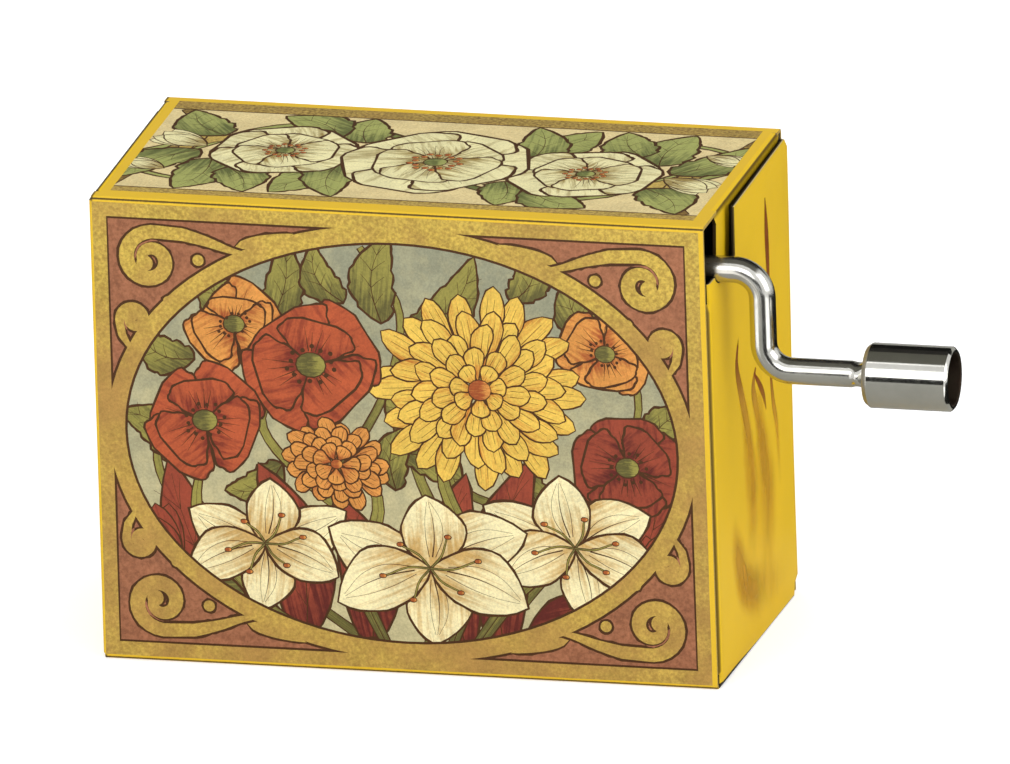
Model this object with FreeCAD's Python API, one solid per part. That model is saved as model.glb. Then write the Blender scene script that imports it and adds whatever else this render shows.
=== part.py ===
# Small hand-cranked music box: a folded card carton with a comb movement inside.
# Units are millimetres. The origin is the middle of the carton's underside, +Z is up,
# +X points to the end where the crank comes out, and the printed front faces -Y.

import FreeCAD, Part
import math
import os

from FreeCAD import Vector

# Carton
CARTON_LENGTH = 64.8        # along X, between the cut edges of the front panel
CARTON_DEPTH = 32.6         # along Y
CARTON_HEIGHT = 50.0        # along Z
BOARD = 0.35                # thickness of the card
CREASE_RADIUS = 0.35        # of the card's middle layer at a fold
GLUE_GAP = 0.05             # between two layers of card that lie on each other
GLUE_FLAP_HEIGHT = 10.0

# End closures
DUST_FLAP_LENGTH = 17.0
TOP_FLAP_FRONT = -10.6      # front edge of the top dust flap on the crank's side
FLAP_BACK = 14.5            # back edge of a dust flap
FLAP_TAPER = 1.5            # how much a dust flap narrows on each side
TOP_FLAP_RELIEF = 0.7       # and how far the one by the crank is cut back for the shaft
END_FACE = 32.75            # outer face of the closing panel
END_PANEL_FOOT = 0.4
END_PANEL_TOP = 49.4
TONGUE_END = 26.0           # X of the tuck tongue's free edge
CREASE_RELIEF_Z = 47.6      # the crease on the back panel ends here
CREASE_FOOT_Z = 1.0         # and begins here
NOTCH_BACK = -7.4           # the crank's notch in the closing panel, back edge
NOTCH_FLOOR = 42.6

# Crank
WIRE_RADIUS = 1.38
CRANK_Y = -12.4             # the crank shaft's axis
CRANK_Z = 44.4
CRANK_THROW = 10.68         # from the shaft's axis to the knob's axis
ARM_X = 37.45               # the arm that hangs down
BEND_RADIUS = 2.9
SHAFT_END = -3.6
STAKE_START = 46.7          # the wire is flattened here to hold the knob
STAKE_END = 48.1
KNOB_START = 48.4
KNOB_END = 57.55
KNOB_RADIUS = 3.37
KNOB_WEB_END = 52.0
KNOB_BORE_RADIUS = 2.7
RUNNING_GAP = 0.05

# Worm and gear
MODULE = 0.6
GEAR_TEETH = 24
WORM_PITCH_RADIUS = 2.4
LEAD = math.pi * MODULE     # the worm has one start
WORM_ROOT_RADIUS = 1.75
WORM_TIP_RADIUS = 2.9
WORM_TURNS = 3.5
WORM_STEPS = 12             # straight steps in each turn of the thread
GEAR_PITCH_RADIUS = MODULE * GEAR_TEETH / 2
GEAR_TIP_RADIUS = GEAR_PITCH_RADIUS + 0.5
GEAR_ROOT_RADIUS = GEAR_PITCH_RADIUS - 0.75
GEAR_WIDTH = 2.8

# Pinned drum
DRUM_X = 8.0
DRUM_Y = CRANK_Y + WORM_PITCH_RADIUS + GEAR_PITCH_RADIUS
DRUM_RADIUS = 6.3
DRUM_WALL = 0.5
DRUM_FOOT = 18.6
DRUM_TOP = 37.4
ARBOR_RADIUS = 0.8
ARBOR_FOOT = 14.9
ARBOR_TOP = 46.9
PIN_HEIGHT = 0.6
PIN_STEPS = 36              # beats round the drum

# Comb
TOOTH_COUNT = 18
TOOTH_PITCH = 0.96
TOOTH_SLOT = 0.24
FIRST_TOOTH_Z = 19.85
TOOTH_THICKNESS = 0.5
COMB_THICKNESS = 1.0
COMB_UNDERSIDE = -3.4
COMB_BACK = -24.0
COMB_TIP_GAP = 0.12         # between the tips and the path of the pins
LONGEST_TOOTH = 17.5
SHORTEST_TOOTH = 9.0
WEIGHTED_TEETH = 8
COMB_SCREW_X = -20.0
COMB_SCREW_Z = (23.0, 33.3)

# Bedplate
BED_LEFT = -25.0
BED_RIGHT = 24.0
BED_FOOT = 10.6
BED_TOP = 48.6
BED_UNDERSIDE = -15.4
BED_FACE = -13.4
LEDGE_LEFT = -24.5
LEDGE_RIGHT = -14.2
LEDGE_WALL = 1.6
SHAFT_LUGS = ((-1.5, 1.8), (19.5, 23.5))
SHAFT_LUG_RADIUS = 3.0
WINDOW_FOOT = 41.2          # the opening under the worm reaches up from here
ARBOR_LUG = (13.9, 16.4)
BRACKET = (38.6, 40.2)
BRACKET_EAR_DROP = 6.4
BRACKET_SCREW_X = (-1.0, 17.0)
BRACKET_SCREW_Z = 36.0
EAR_THICKNESS = 1.4

# Sides of the smallest round pieces
SCREW_SIDES = 12            # of a screw's shank and its holes
WASHER_SIDES = 24

HALF_LENGTH = CARTON_LENGTH / 2
HALF_DEPTH = CARTON_DEPTH / 2
X_AXIS = Vector(1, 0, 0)
Y_AXIS = Vector(0, 1, 0)
Z_AXIS = Vector(0, 0, 1)


def block(x0, x1, y0, y1, z0, z1):
    return Part.makeBox(x1 - x0, y1 - y0, z1 - z0, Vector(x0, y0, z0))


def rod(radius, start, direction, length):
    return Part.makeCylinder(radius, length, start, direction)


def ring(outer, inner, start, direction, length):
    return rod(outer, start, direction, length).cut(rod(inner, start, direction, length))


def prism(points, direction):
    """Straight prism over a closed outline."""
    wire = Part.makePolygon(list(points) + [points[0]])
    return Part.Face(wire).extrude(direction)


def flat_sided_rod(radius, start, direction, length, sides):
    """Rod with flat sides, whose corners lie on the radius."""
    across = X_AXIS if abs(direction.y) > 0.5 else Y_AXIS
    up = direction.cross(across)
    angles = [2 * math.pi * i / sides for i in range(sides)]
    corners = [start + across * radius * math.cos(a) + up * radius * math.sin(a) for a in angles]
    return prism(corners, direction * length)


def flat_sided_hole(radius, start, direction, length, sides):
    """Cutter whose flat sides leave room for a round rod of the radius."""
    return flat_sided_rod(radius / math.cos(math.pi / sides), start, direction, length, sides)


def washer(outer, inner, start, direction, thickness):
    return flat_sided_rod(outer, start, direction, thickness, WASHER_SIDES).cut(
        flat_sided_hole(inner, start, direction, thickness, WASHER_SIDES))


def faceted_solid(sections):
    """Solid in flat facets over a row of closed outlines with the same number of corners."""
    faces = [Part.Face(Part.makePolygon(end + [end[0]])) for end in (sections[0], sections[-1])]
    for low, high in zip(sections, sections[1:]):
        for i in range(len(low)):
            j = (i + 1) % len(low)
            for corners in ([low[i], low[j], high[j]], [low[i], high[j], high[i]]):
                faces.append(Part.Face(Part.makePolygon(corners + [corners[0]])))
    shell = Part.makeShell(faces)
    shell.sewShape()
    solid = Part.makeSolid(shell)
    if solid.Volume < 0:
        solid.reverse()
    return solid


def slotted_screw(head_radius, head_height, shank_radius, shank_length, seat):
    """Cheese-head screw driven towards -Y, with its head's underside at seat."""
    head = rod(head_radius, seat, Y_AXIS, head_height)
    slot = block(seat.x - head_radius, seat.x + head_radius,
                 seat.y + head_height - 0.55, seat.y + head_height + 1,
                 seat.z - 0.25, seat.z + 0.25)
    shank = flat_sided_rod(shank_radius, seat, -Y_AXIS, shank_length, SCREW_SIDES)
    return head.cut(slot).fuse(shank)


def strip_wire(path, reaches, normal, thickness):
    """Closed outline of a bent strip of sheet.

    path is the strip's middle line. reaches gives, for each inner point, how far from that
    point the round bend starts, so a square bend has its radius there."""
    def side_edges(side):
        edges = []
        start = None
        for i in range(1, len(path)):
            along = (path[i] - path[i - 1]).normalize()
            across = normal.cross(along) * side * thickness / 2
            if start is None:
                start = path[0] + across
            if i == len(path) - 1:
                edges.append(Part.makeLine(start, path[i] + across))
                break
            onward = (path[i + 1] - path[i]).normalize()
            turn = math.atan2(along.cross(onward).dot(normal), along.dot(onward))
            reach = reaches[i - 1]
            radius = reach / math.tan(abs(turn) / 2)
            inward = normal.cross(along) * math.copysign(1, turn)
            centre = path[i] - along * reach + inward * radius
            side_radius = radius - math.copysign(1, turn) * side * thickness / 2
            bend_in = centre - inward * side_radius
            outward = (path[i] - centre).normalize()
            bend_out = path[i] + onward * reach + normal.cross(onward) * side * thickness / 2
            if bend_in.distanceToPoint(start) > 1e-6:
                edges.append(Part.makeLine(start, bend_in))
            edges.append(Part.Arc(bend_in, centre + outward * side_radius, bend_out).toShape())
            start = bend_out
        return edges

    left = side_edges(1)
    right = side_edges(-1)
    caps = [Part.makeLine(left[i].Vertexes[i].Point, right[i].Vertexes[i].Point) for i in (0, -1)]
    return Part.Wire(Part.__sortEdges__(left + right + caps))


def bent_strip(path, reaches, normal, thickness, width):
    """Bent strip with the given width along its normal."""
    return Part.Face(strip_wire(path, reaches, normal, thickness)).extrude(normal * width)


def carton_sleeve():
    """Four printed panels in one folded loop, closed by the glue flap inside the back."""
    y = HALF_DEPTH - BOARD / 2
    low = BOARD / 2
    high = CARTON_HEIGHT - BOARD / 2
    flap_y = y - BOARD - GLUE_GAP
    path = [Vector(-HALF_LENGTH, y, 0.02), Vector(-HALF_LENGTH, y, high),
            Vector(-HALF_LENGTH, -y, high), Vector(-HALF_LENGTH, -y, low),
            Vector(-HALF_LENGTH, flap_y, low), Vector(-HALF_LENGTH, flap_y, GLUE_FLAP_HEIGHT)]
    sleeve = bent_strip(path, [CREASE_RADIUS] * 4, X_AXIS, BOARD, CARTON_LENGTH)
    # At each crease the panels stop short, where the flaps and end panels begin.
    top_crease = flap_crease_x()
    back_crease = end_crease_x()
    cuts = []
    for side, front in ((1, TOP_FLAP_FRONT), (-1, -FLAP_BACK)):
        for z0, flap_front in ((CARTON_HEIGHT - 1, front), (-1, -FLAP_BACK)):
            cuts.append(mirrored(block(top_crease, HALF_LENGTH + 1, flap_front - 0.02,
                                       FLAP_BACK + 0.02, z0, z0 + 2), side))
        cuts.append(mirrored(block(back_crease, HALF_LENGTH + 1, flap_y + BOARD / 2 + GLUE_GAP / 2,
                                   HALF_DEPTH + 1, CREASE_FOOT_Z - 0.1,
                                   CREASE_RELIEF_Z + 0.1), side))
        slope = [Vector(HALF_LENGTH - 1, flap_y - BOARD, 2 * BOARD),
                 Vector(HALF_LENGTH - 4, flap_y - BOARD, GLUE_FLAP_HEIGHT + 1),
                 Vector(HALF_LENGTH + 1, flap_y - BOARD, GLUE_FLAP_HEIGHT + 1),
                 Vector(HALF_LENGTH + 1, flap_y - BOARD, 2 * BOARD)]
        cuts.append(mirrored(prism(slope, Y_AXIS * (1.5 * BOARD + GLUE_GAP / 2)), side))
    return sleeve.cut(cuts)


def mirrored(shape, side):
    """The shape itself, or its mirror image at the carton's other end."""
    return shape if side > 0 else shape.mirror(Vector(0, 0, 0), X_AXIS)


def flap_crease_x():
    """Where a dust flap's crease begins on the top or bottom panel."""
    return END_FACE - BOARD - GLUE_GAP - BOARD / 2 - CREASE_RADIUS


def end_crease_x():
    """Where the closing panel's crease begins on the back panel."""
    return END_FACE - BOARD / 2 - CREASE_RADIUS


def top_dust_flap(side, front, shaft_relief):
    """Flap that hangs from the top panel behind the closing panel.

    shaft_relief is how far its front edge is cut back to clear the crank shaft."""
    crease = flap_crease_x()
    z = CARTON_HEIGHT - BOARD / 2
    foot = CARTON_HEIGHT - DUST_FLAP_LENGTH
    path = [Vector(crease, front, z), Vector(crease + CREASE_RADIUS, front, z),
            Vector(crease + CREASE_RADIUS, front, foot)]
    flap = bent_strip(path, [CREASE_RADIUS], Y_AXIS, BOARD, FLAP_BACK - front)
    waist = CARTON_HEIGHT - 1.0
    knee = CRANK_Z + WIRE_RADIUS + RUNNING_GAP
    outline = [Vector(0, front, CARTON_HEIGHT + 1), Vector(0, front, waist),
               Vector(0, front + shaft_relief, knee), Vector(0, front + FLAP_TAPER, foot),
               Vector(0, FLAP_BACK - 2 * FLAP_TAPER, foot),
               Vector(0, FLAP_BACK, waist), Vector(0, FLAP_BACK, CARTON_HEIGHT + 1)]
    return mirrored(flap.common(prism(outline, X_AXIS * 2 * HALF_LENGTH)), side)


def bottom_dust_flap(side):
    """Flap that stands up from the bottom panel behind the closing panel."""
    crease = flap_crease_x()
    z = BOARD / 2
    path = [Vector(crease, -FLAP_BACK, z), Vector(crease + CREASE_RADIUS, -FLAP_BACK, z),
            Vector(crease + CREASE_RADIUS, -FLAP_BACK, DUST_FLAP_LENGTH)]
    flap = bent_strip(path, [CREASE_RADIUS], Y_AXIS, BOARD, 2 * FLAP_BACK)
    outline = [Vector(0, -FLAP_BACK, -1), Vector(0, -FLAP_BACK, 1),
               Vector(0, 2 * FLAP_TAPER - FLAP_BACK, DUST_FLAP_LENGTH),
               Vector(0, FLAP_BACK - 2 * FLAP_TAPER, DUST_FLAP_LENGTH),
               Vector(0, FLAP_BACK, 1), Vector(0, FLAP_BACK, -1)]
    return mirrored(flap.common(prism(outline, X_AXIS * 2 * HALF_LENGTH)), side)


def end_panel(side, notched):
    """Closing panel hinged on the back panel, with its tuck tongue behind the front panel."""
    back = HALF_DEPTH - BOARD / 2
    front = -(back - BOARD - 1.5 * GLUE_GAP)
    middle = END_FACE - BOARD / 2
    z = END_PANEL_FOOT
    path = [Vector(end_crease_x(), back, z), Vector(middle, back, z),
            Vector(middle, front, z), Vector(TONGUE_END, front, z)]
    panel = bent_strip(path, [CREASE_RADIUS] * 2, Z_AXIS, BOARD, END_PANEL_TOP - END_PANEL_FOOT)
    reach = HALF_DEPTH + 1
    relief = FLAP_BACK - FLAP_TAPER
    inside = HALF_DEPTH - BOARD - GLUE_GAP
    outline = [Vector(0, reach, CREASE_FOOT_Z), Vector(0, reach, CREASE_RELIEF_Z),
               Vector(0, inside, CREASE_RELIEF_Z), Vector(0, relief, END_PANEL_TOP),
               Vector(0, relief, CARTON_HEIGHT), Vector(0, -reach, CARTON_HEIGHT),
               Vector(0, -reach, 0), Vector(0, relief, 0), Vector(0, inside, CREASE_FOOT_Z)]
    panel = panel.common(prism(outline, X_AXIS * 2 * HALF_LENGTH))
    tongue_back = -HALF_DEPTH + 3 * BOARD
    shoulder = END_FACE - 2 * CREASE_RADIUS
    tongue_cuts = [
        [Vector(shoulder, -reach, CARTON_HEIGHT), Vector(shoulder, -reach, NOTCH_FLOOR - 1),
         Vector(TONGUE_END - 1, -reach, NOTCH_FLOOR - 5), Vector(TONGUE_END - 1, -reach, CARTON_HEIGHT)],
        [Vector(shoulder, -reach, 0), Vector(shoulder, -reach, 1.5),
         Vector(TONGUE_END - 1, -reach, 5.5), Vector(TONGUE_END - 1, -reach, 0)]]
    panel = panel.cut([prism(cut, Y_AXIS * (tongue_back + reach)) for cut in tongue_cuts])
    if notched:
        panel = panel.cut(crank_notch())
    return mirrored(panel, side)


def crank_notch():
    """The cut-out in the closing panel's top corner that lets the crank shaft through.

    Its floor curls up in front of the shaft to a low sill."""
    corner = 1.6
    front = -HALF_DEPTH - 1
    start = Vector(0, NOTCH_BACK, CARTON_HEIGHT)
    low = Vector(0, NOTCH_BACK, NOTCH_FLOOR + corner)
    knee = Vector(0, NOTCH_BACK - corner * 0.293, NOTCH_FLOOR + corner * 0.293)
    floor = Vector(0, NOTCH_BACK - corner, NOTCH_FLOOR)
    room = CRANK_Z - NOTCH_FLOOR
    cradle = [Vector(0, CRANK_Y - room * math.sin(angle), CRANK_Z - room * math.cos(angle))
              for angle in (0, math.radians(35), math.radians(70))]
    lip = Vector(0, front, NOTCH_FLOOR + 1.4)
    edges = [Part.makeLine(start, low), Part.Arc(low, knee, floor).toShape(),
             Part.makeLine(floor, cradle[0]), Part.Arc(*cradle).toShape(),
             Part.makeLine(cradle[2], lip),
             Part.makeLine(lip, Vector(0, front, CARTON_HEIGHT)),
             Part.makeLine(Vector(0, front, CARTON_HEIGHT), start)]
    return Part.Face(Part.Wire(edges)).extrude(X_AXIS * 2 * HALF_LENGTH)


def adhesive_pads():
    """Strips of foam tape that hold the bedplate to the inside of the front panel."""
    front = -HALF_DEPTH + BOARD
    strips = [block(-23.5, -15.5, front, BED_UNDERSIDE, 15.5, 43.5),
              block(14.0, 22.0, front, BED_UNDERSIDE, 16.5, 38.5)]
    return Part.makeCompound(strips)


def bearing_lug(x, y, radius, base_half, base_y, z0, z1):
    """Upright lug with a round head at (x, y) that widens down to base_y."""
    height = z1 - z0
    outline = [Vector(x - base_half, base_y, z0), Vector(x + base_half, base_y, z0),
               Vector(x + radius, y, z0), Vector(x - radius, y, z0)]
    head = rod(radius, Vector(x, y, z0), Z_AXIS, height)
    return prism(outline, Z_AXIS * height).fuse(head)


def shaft_lug(x0, x1):
    """Cast lug round the crank shaft."""
    head = rod(SHAFT_LUG_RADIUS, Vector(x0, CRANK_Y, CRANK_Z), X_AXIS, x1 - x0)
    foot = block(x0, x1, BED_UNDERSIDE, CRANK_Y, CRANK_Z - SHAFT_LUG_RADIUS,
                 CRANK_Z + SHAFT_LUG_RADIUS)
    return head.common(block(x0, x1, BED_UNDERSIDE, 0, 0, CARTON_HEIGHT)).fuse(foot)


def bedplate():
    """Die-cast plate with the comb's ledge and the lugs for the crank shaft and the arbor."""
    plate = block(BED_LEFT, BED_RIGHT, BED_UNDERSIDE, BED_FACE, BED_FOOT, BED_TOP)
    corners = [edge for edge in plate.Edges if abs(edge.tangentAt(0).y) > 0.99]
    plate = plate.makeFillet(2.0, corners)
    window = block(SHAFT_LUGS[0][1], SHAFT_LUGS[1][0], BED_UNDERSIDE - 1, BED_FACE + 1,
                   WINDOW_FOOT, BED_TOP + 1)
    clip_pocket = block(SHAFT_END - 0.9, SHAFT_LUGS[0][0], BED_UNDERSIDE - 1, BED_FACE + 1,
                        WINDOW_FOOT, CRANK_Z + SHAFT_LUG_RADIUS)
    plate = plate.cut([window, clip_pocket])

    ledge_foot = FIRST_TOOTH_Z - 3.4
    ledge_top = FIRST_TOOTH_Z + (TOOTH_COUNT - 1) * TOOTH_PITCH + 3.4
    ledge = block(LEDGE_LEFT, LEDGE_RIGHT, BED_FACE, COMB_UNDERSIDE, ledge_foot, ledge_top)
    core = block(LEDGE_LEFT + LEDGE_WALL, LEDGE_RIGHT - LEDGE_WALL, BED_UNDERSIDE - 1,
                 COMB_UNDERSIDE - LEDGE_WALL, ledge_foot + LEDGE_WALL, ledge_top - LEDGE_WALL)
    boss = 2.3
    core = core.cut([block(COMB_SCREW_X - boss, COMB_SCREW_X + boss, BED_UNDERSIDE,
                           COMB_UNDERSIDE - 1, z - boss, z + boss) for z in COMB_SCREW_Z])

    arbor_lug = bearing_lug(DRUM_X, DRUM_Y, 2.4, 4.6, BED_FACE, *ARBOR_LUG)
    lugs = [shaft_lug(x0, x1) for x0, x1 in SHAFT_LUGS]
    casting = plate.fuse([ledge, arbor_lug] + lugs).cut(core)

    holes = [rod(WIRE_RADIUS + RUNNING_GAP, Vector(BED_LEFT, CRANK_Y, CRANK_Z), X_AXIS,
                 BED_RIGHT - BED_LEFT + 1),
             rod(ARBOR_RADIUS + RUNNING_GAP, Vector(DRUM_X, DRUM_Y, ARBOR_FOOT - 0.1), Z_AXIS, 3)]
    holes += [flat_sided_hole(1.22, Vector(COMB_SCREW_X, BED_UNDERSIDE - 1, z), Y_AXIS, 14,
                              SCREW_SIDES) for z in COMB_SCREW_Z]
    holes += [flat_sided_hole(0.97, Vector(x, BED_UNDERSIDE - 1, BRACKET_SCREW_Z), Y_AXIS, 4,
                              SCREW_SIDES) for x in BRACKET_SCREW_X]
    return casting.cut(holes)


def comb_tip_x():
    """The teeth end just clear of the circle in which the pins' points travel."""
    return DRUM_X - DRUM_RADIUS - PIN_HEIGHT - COMB_TIP_GAP


def tooth_z(index):
    return FIRST_TOOTH_Z + index * TOOTH_PITCH


def tooth_length(index):
    """Long bass teeth at the foot of the comb, short treble teeth at its top."""
    share = index / (TOOTH_COUNT - 1)
    return LONGEST_TOOTH + (SHORTEST_TOOTH - LONGEST_TOOTH) * share


def comb():
    """Steel comb: one plate, slit into teeth that are ground thinner from below."""
    tip = comb_tip_x()
    low = tooth_z(0) - TOOTH_PITCH / 2 + TOOTH_SLOT / 2
    high = tooth_z(TOOTH_COUNT - 1) + TOOTH_PITCH / 2 - TOOTH_SLOT / 2
    face = COMB_UNDERSIDE + COMB_THICKNESS
    edge = 2.0
    root_low = tip - tooth_length(0)
    root_high = tip - tooth_length(TOOTH_COUNT - 1)
    outline = [Vector(COMB_BACK, COMB_UNDERSIDE, low - edge),
               Vector(root_low - 1, COMB_UNDERSIDE, low - edge),
               Vector(root_low + 1, COMB_UNDERSIDE, low), Vector(tip, COMB_UNDERSIDE, low),
               Vector(tip, COMB_UNDERSIDE, high), Vector(root_high + 1, COMB_UNDERSIDE, high),
               Vector(root_high - 1, COMB_UNDERSIDE, high + edge),
               Vector(COMB_BACK, COMB_UNDERSIDE, high + edge)]
    blank = prism(outline, Y_AXIS * COMB_THICKNESS)
    cuts = []
    for index in range(TOOTH_COUNT - 1):
        z = tooth_z(index) + TOOTH_PITCH / 2
        root = tip - (tooth_length(index) + tooth_length(index + 1)) / 2
        cuts.append(block(root, tip + 1, COMB_UNDERSIDE - 1, face + 1,
                          z - TOOTH_SLOT / 2, z + TOOTH_SLOT / 2))
    grind = [Vector(root_low + 1.5, COMB_UNDERSIDE - 1, low - edge - 1),
             Vector(tip + 1, COMB_UNDERSIDE - 1, low - edge - 1),
             Vector(tip + 1, COMB_UNDERSIDE - 1, high + edge + 1),
             Vector(root_high + 1.5, COMB_UNDERSIDE - 1, high + edge + 1)]
    cuts.append(prism(grind, Y_AXIS * (1 + COMB_THICKNESS - TOOTH_THICKNESS)))
    cuts += [flat_sided_hole(1.45, Vector(COMB_SCREW_X, COMB_UNDERSIDE - 1, z), Y_AXIS, 3,
                             SCREW_SIDES) for z in COMB_SCREW_Z]
    return blank.cut(cuts)


def comb_weights():
    """Lead weights that tune the bass teeth, hung under the tips."""
    roof = COMB_UNDERSIDE + COMB_THICKNESS - TOOTH_THICKNESS
    weights = []
    for index in range(WEIGHTED_TEETH):
        share = 1 - index / WEIGHTED_TEETH
        length = 1.8 + 5.2 * share
        depth = 0.6 + 1.1 * share
        end = comb_tip_x() - 1.2
        half = (TOOTH_PITCH - TOOTH_SLOT) / 2 - 0.05
        outline = [Vector(end, roof, tooth_z(index) - half),
                   Vector(end - 0.5, roof - depth, tooth_z(index) - half),
                   Vector(end - length, roof - depth, tooth_z(index) - half),
                   Vector(end - length, roof, tooth_z(index) - half)]
        weights.append(prism(outline, Z_AXIS * 2 * half))
    return Part.makeCompound(weights)


def comb_screws():
    face = COMB_UNDERSIDE + COMB_THICKNESS
    return Part.makeCompound([slotted_screw(2.1, 1.4, 1.2, 8.5, Vector(COMB_SCREW_X, face, z))
                              for z in COMB_SCREW_Z])


def pin(beat, tooth):
    """Small four-sided pin set in the drum's wall, under one tooth of the comb."""
    foot, foot_half = DRUM_RADIUS - 0.15, 0.24
    tip, tip_half = DRUM_RADIUS + PIN_HEIGHT, 0.11
    shape = Part.makeWedge(-foot_half, foot, -foot_half, -tip_half, -tip_half,
                           foot_half, tip, foot_half, tip_half, tip_half)
    shape.rotate(Vector(0, 0, 0), Z_AXIS, 360.0 * beat / PIN_STEPS - 90)
    shape.translate(Vector(DRUM_X, DRUM_Y, tooth_z(tooth)))
    return shape


def tune():
    """A plain practice pattern: broken chords above a slow walking bass."""
    chords = ((6, 9, 11, 14), (7, 9, 12, 15), (6, 10, 13, 15), (8, 11, 13, 17))
    bass = (0, 3, 1, 4)
    notes = set()
    for beat in range(PIN_STEPS):
        chord = (beat * len(chords)) // PIN_STEPS
        notes.add((beat, chords[chord][(0, 1, 2, 3, 2, 1)[beat % 6]]))
        if beat % 3 == 0:
            notes.add((beat, bass[chord] + (beat // 3) % 3))
        if beat % 9 == 4:
            notes.add((beat, 5))
        if beat % 4 == 2:
            notes.add((beat, chords[chord][0] - 1))
    return sorted(notes)


def drum_pins():
    """One pin for each note of the tune."""
    return Part.makeCompound([pin(beat, tooth) for beat, tooth in tune()])


def drum_sleeve():
    return ring(DRUM_RADIUS, DRUM_RADIUS - DRUM_WALL, Vector(DRUM_X, DRUM_Y, DRUM_FOOT), Z_AXIS,
                DRUM_TOP - DRUM_FOOT)


def drum_cap(z, inward):
    """Plug that closes one end of the drum, with a hub outside."""
    plug = rod(DRUM_RADIUS - DRUM_WALL, Vector(DRUM_X, DRUM_Y, z), inward, 2.4)
    hub = rod(1.7, Vector(DRUM_X, DRUM_Y, z), -inward, 0.9)
    bore = rod(ARBOR_RADIUS, Vector(DRUM_X, DRUM_Y, z) - inward * 2, inward, 8)
    return plug.fuse(hub).cut(bore)


def drum_arbor():
    return rod(ARBOR_RADIUS, Vector(DRUM_X, DRUM_Y, ARBOR_FOOT), Z_AXIS, ARBOR_TOP - ARBOR_FOOT)


def arbor_washer():
    return washer(1.9, ARBOR_RADIUS + RUNNING_GAP,
                  Vector(DRUM_X, DRUM_Y, ARBOR_LUG[1] + 0.1), Z_AXIS, 0.4)


def gear_section(z, twist):
    """Corners of the gear's outline at one height; twist turns them to follow the worm."""
    half_widths = ((GEAR_ROOT_RADIUS, 0.575), (GEAR_TIP_RADIUS, 0.225))
    points = []
    for tooth in range(GEAR_TEETH):
        middle = math.radians(-90 + 360.0 * tooth / GEAR_TEETH + twist)
        flank = [(radius, middle + side * half / radius)
                 for side, order in ((-1, half_widths), (1, half_widths[::-1]))
                 for radius, half in order]
        points += [Vector(DRUM_X + radius * math.cos(angle), DRUM_Y + radius * math.sin(angle), z)
                   for radius, angle in flank]
    return points


def drum_gear():
    """Worm wheel on the arbor's upper end, with teeth slanted by the worm's lead."""
    slant = math.degrees(LEAD / (2 * math.pi * WORM_PITCH_RADIUS) / GEAR_PITCH_RADIUS)
    low = CRANK_Z - GEAR_WIDTH / 2
    high = CRANK_Z + GEAR_WIDTH / 2
    wheel = faceted_solid([gear_section(low, -slant * GEAR_WIDTH / 2),
                           gear_section(high, slant * GEAR_WIDTH / 2)])
    hub_foot = BRACKET[1] + 0.3
    hub = rod(2.4, Vector(DRUM_X, DRUM_Y, hub_foot), Z_AXIS, high + 0.5 - hub_foot)
    bore = rod(ARBOR_RADIUS, Vector(DRUM_X, DRUM_Y, hub_foot - 1), Z_AXIS, 10)
    return wheel.fuse(hub).cut(bore)


def arbor_bracket():
    """Upright plate that carries the arbor between drum and gear, on two screwed ears."""
    plate = bearing_lug(DRUM_X, DRUM_Y, 2.6, 7.4, BED_FACE, *BRACKET)
    ears = []
    for x in BRACKET_SCREW_X:
        inner = DRUM_X + math.copysign(4.0, x - DRUM_X)
        outer = x + math.copysign(2.6, x - DRUM_X)
        ears.append(block(min(inner, outer), max(inner, outer), BED_FACE,
                          BED_FACE + EAR_THICKNESS, BRACKET[1] - BRACKET_EAR_DROP, BRACKET[1]))
    bracket = plate.fuse(ears)
    holes = [rod(ARBOR_RADIUS + RUNNING_GAP, Vector(DRUM_X, DRUM_Y, BRACKET[0] - 1), Z_AXIS, 4)]
    holes += [flat_sided_hole(1.05, Vector(x, BED_FACE - 1, BRACKET_SCREW_Z), Y_AXIS, 4,
                              SCREW_SIDES) for x in BRACKET_SCREW_X]
    return bracket.cut(holes)


def bracket_screws():
    seat = BED_FACE + EAR_THICKNESS
    return Part.makeCompound([slotted_screw(1.7, 1.1, 0.95, 2.9, Vector(x, seat, BRACKET_SCREW_Z))
                              for x in BRACKET_SCREW_X])


def crank_wire():
    """Bent wire: shaft, arm and handle in one, flattened and riveted to hold the knob."""
    knob_z = CRANK_Z - CRANK_THROW
    y = CRANK_Y
    bend_in = Vector(ARM_X - BEND_RADIUS, y, CRANK_Z)
    bend_out = Vector(ARM_X, y, knob_z + BEND_RADIUS)
    handle = Vector(ARM_X + BEND_RADIUS, y, knob_z)
    rivet_x = KNOB_WEB_END + 0.5
    runs = [rod(WIRE_RADIUS, Vector(SHAFT_END, y, CRANK_Z), X_AXIS, bend_in.x - SHAFT_END),
            rod(WIRE_RADIUS, bend_out, Z_AXIS, CRANK_THROW - 2 * BEND_RADIUS),
            rod(WIRE_RADIUS, handle, X_AXIS, rivet_x - handle.x)]
    bends = []
    for start, direction, pivot, angle in (
            (bend_in, X_AXIS, bend_in - Z_AXIS * BEND_RADIUS, 90),
            (bend_out, Z_AXIS, bend_out + X_AXIS * BEND_RADIUS, -90)):
        disc = Part.Face(Part.Wire(Part.makeCircle(WIRE_RADIUS, start, direction)))
        bends.append(disc.revolve(pivot, Y_AXIS, angle))
    wire = runs[0].fuse(runs[1:] + bends).removeSplitter()

    flat = WIRE_RADIUS - 0.2
    shaves = [block(STAKE_START, STAKE_END, y - 2, y + 2, knob_z + flat, knob_z + flat + 1),
              block(STAKE_START, STAKE_END, y - 2, y + 2, knob_z - flat - 1, knob_z - flat)]
    wings = stake_wings(knob_z)
    rivet = Part.makeCone(1.75, 1.3, 0.7, Vector(rivet_x, y, knob_z), X_AXIS)
    return wire.cut(shaves).fuse([wings, rivet])


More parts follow.
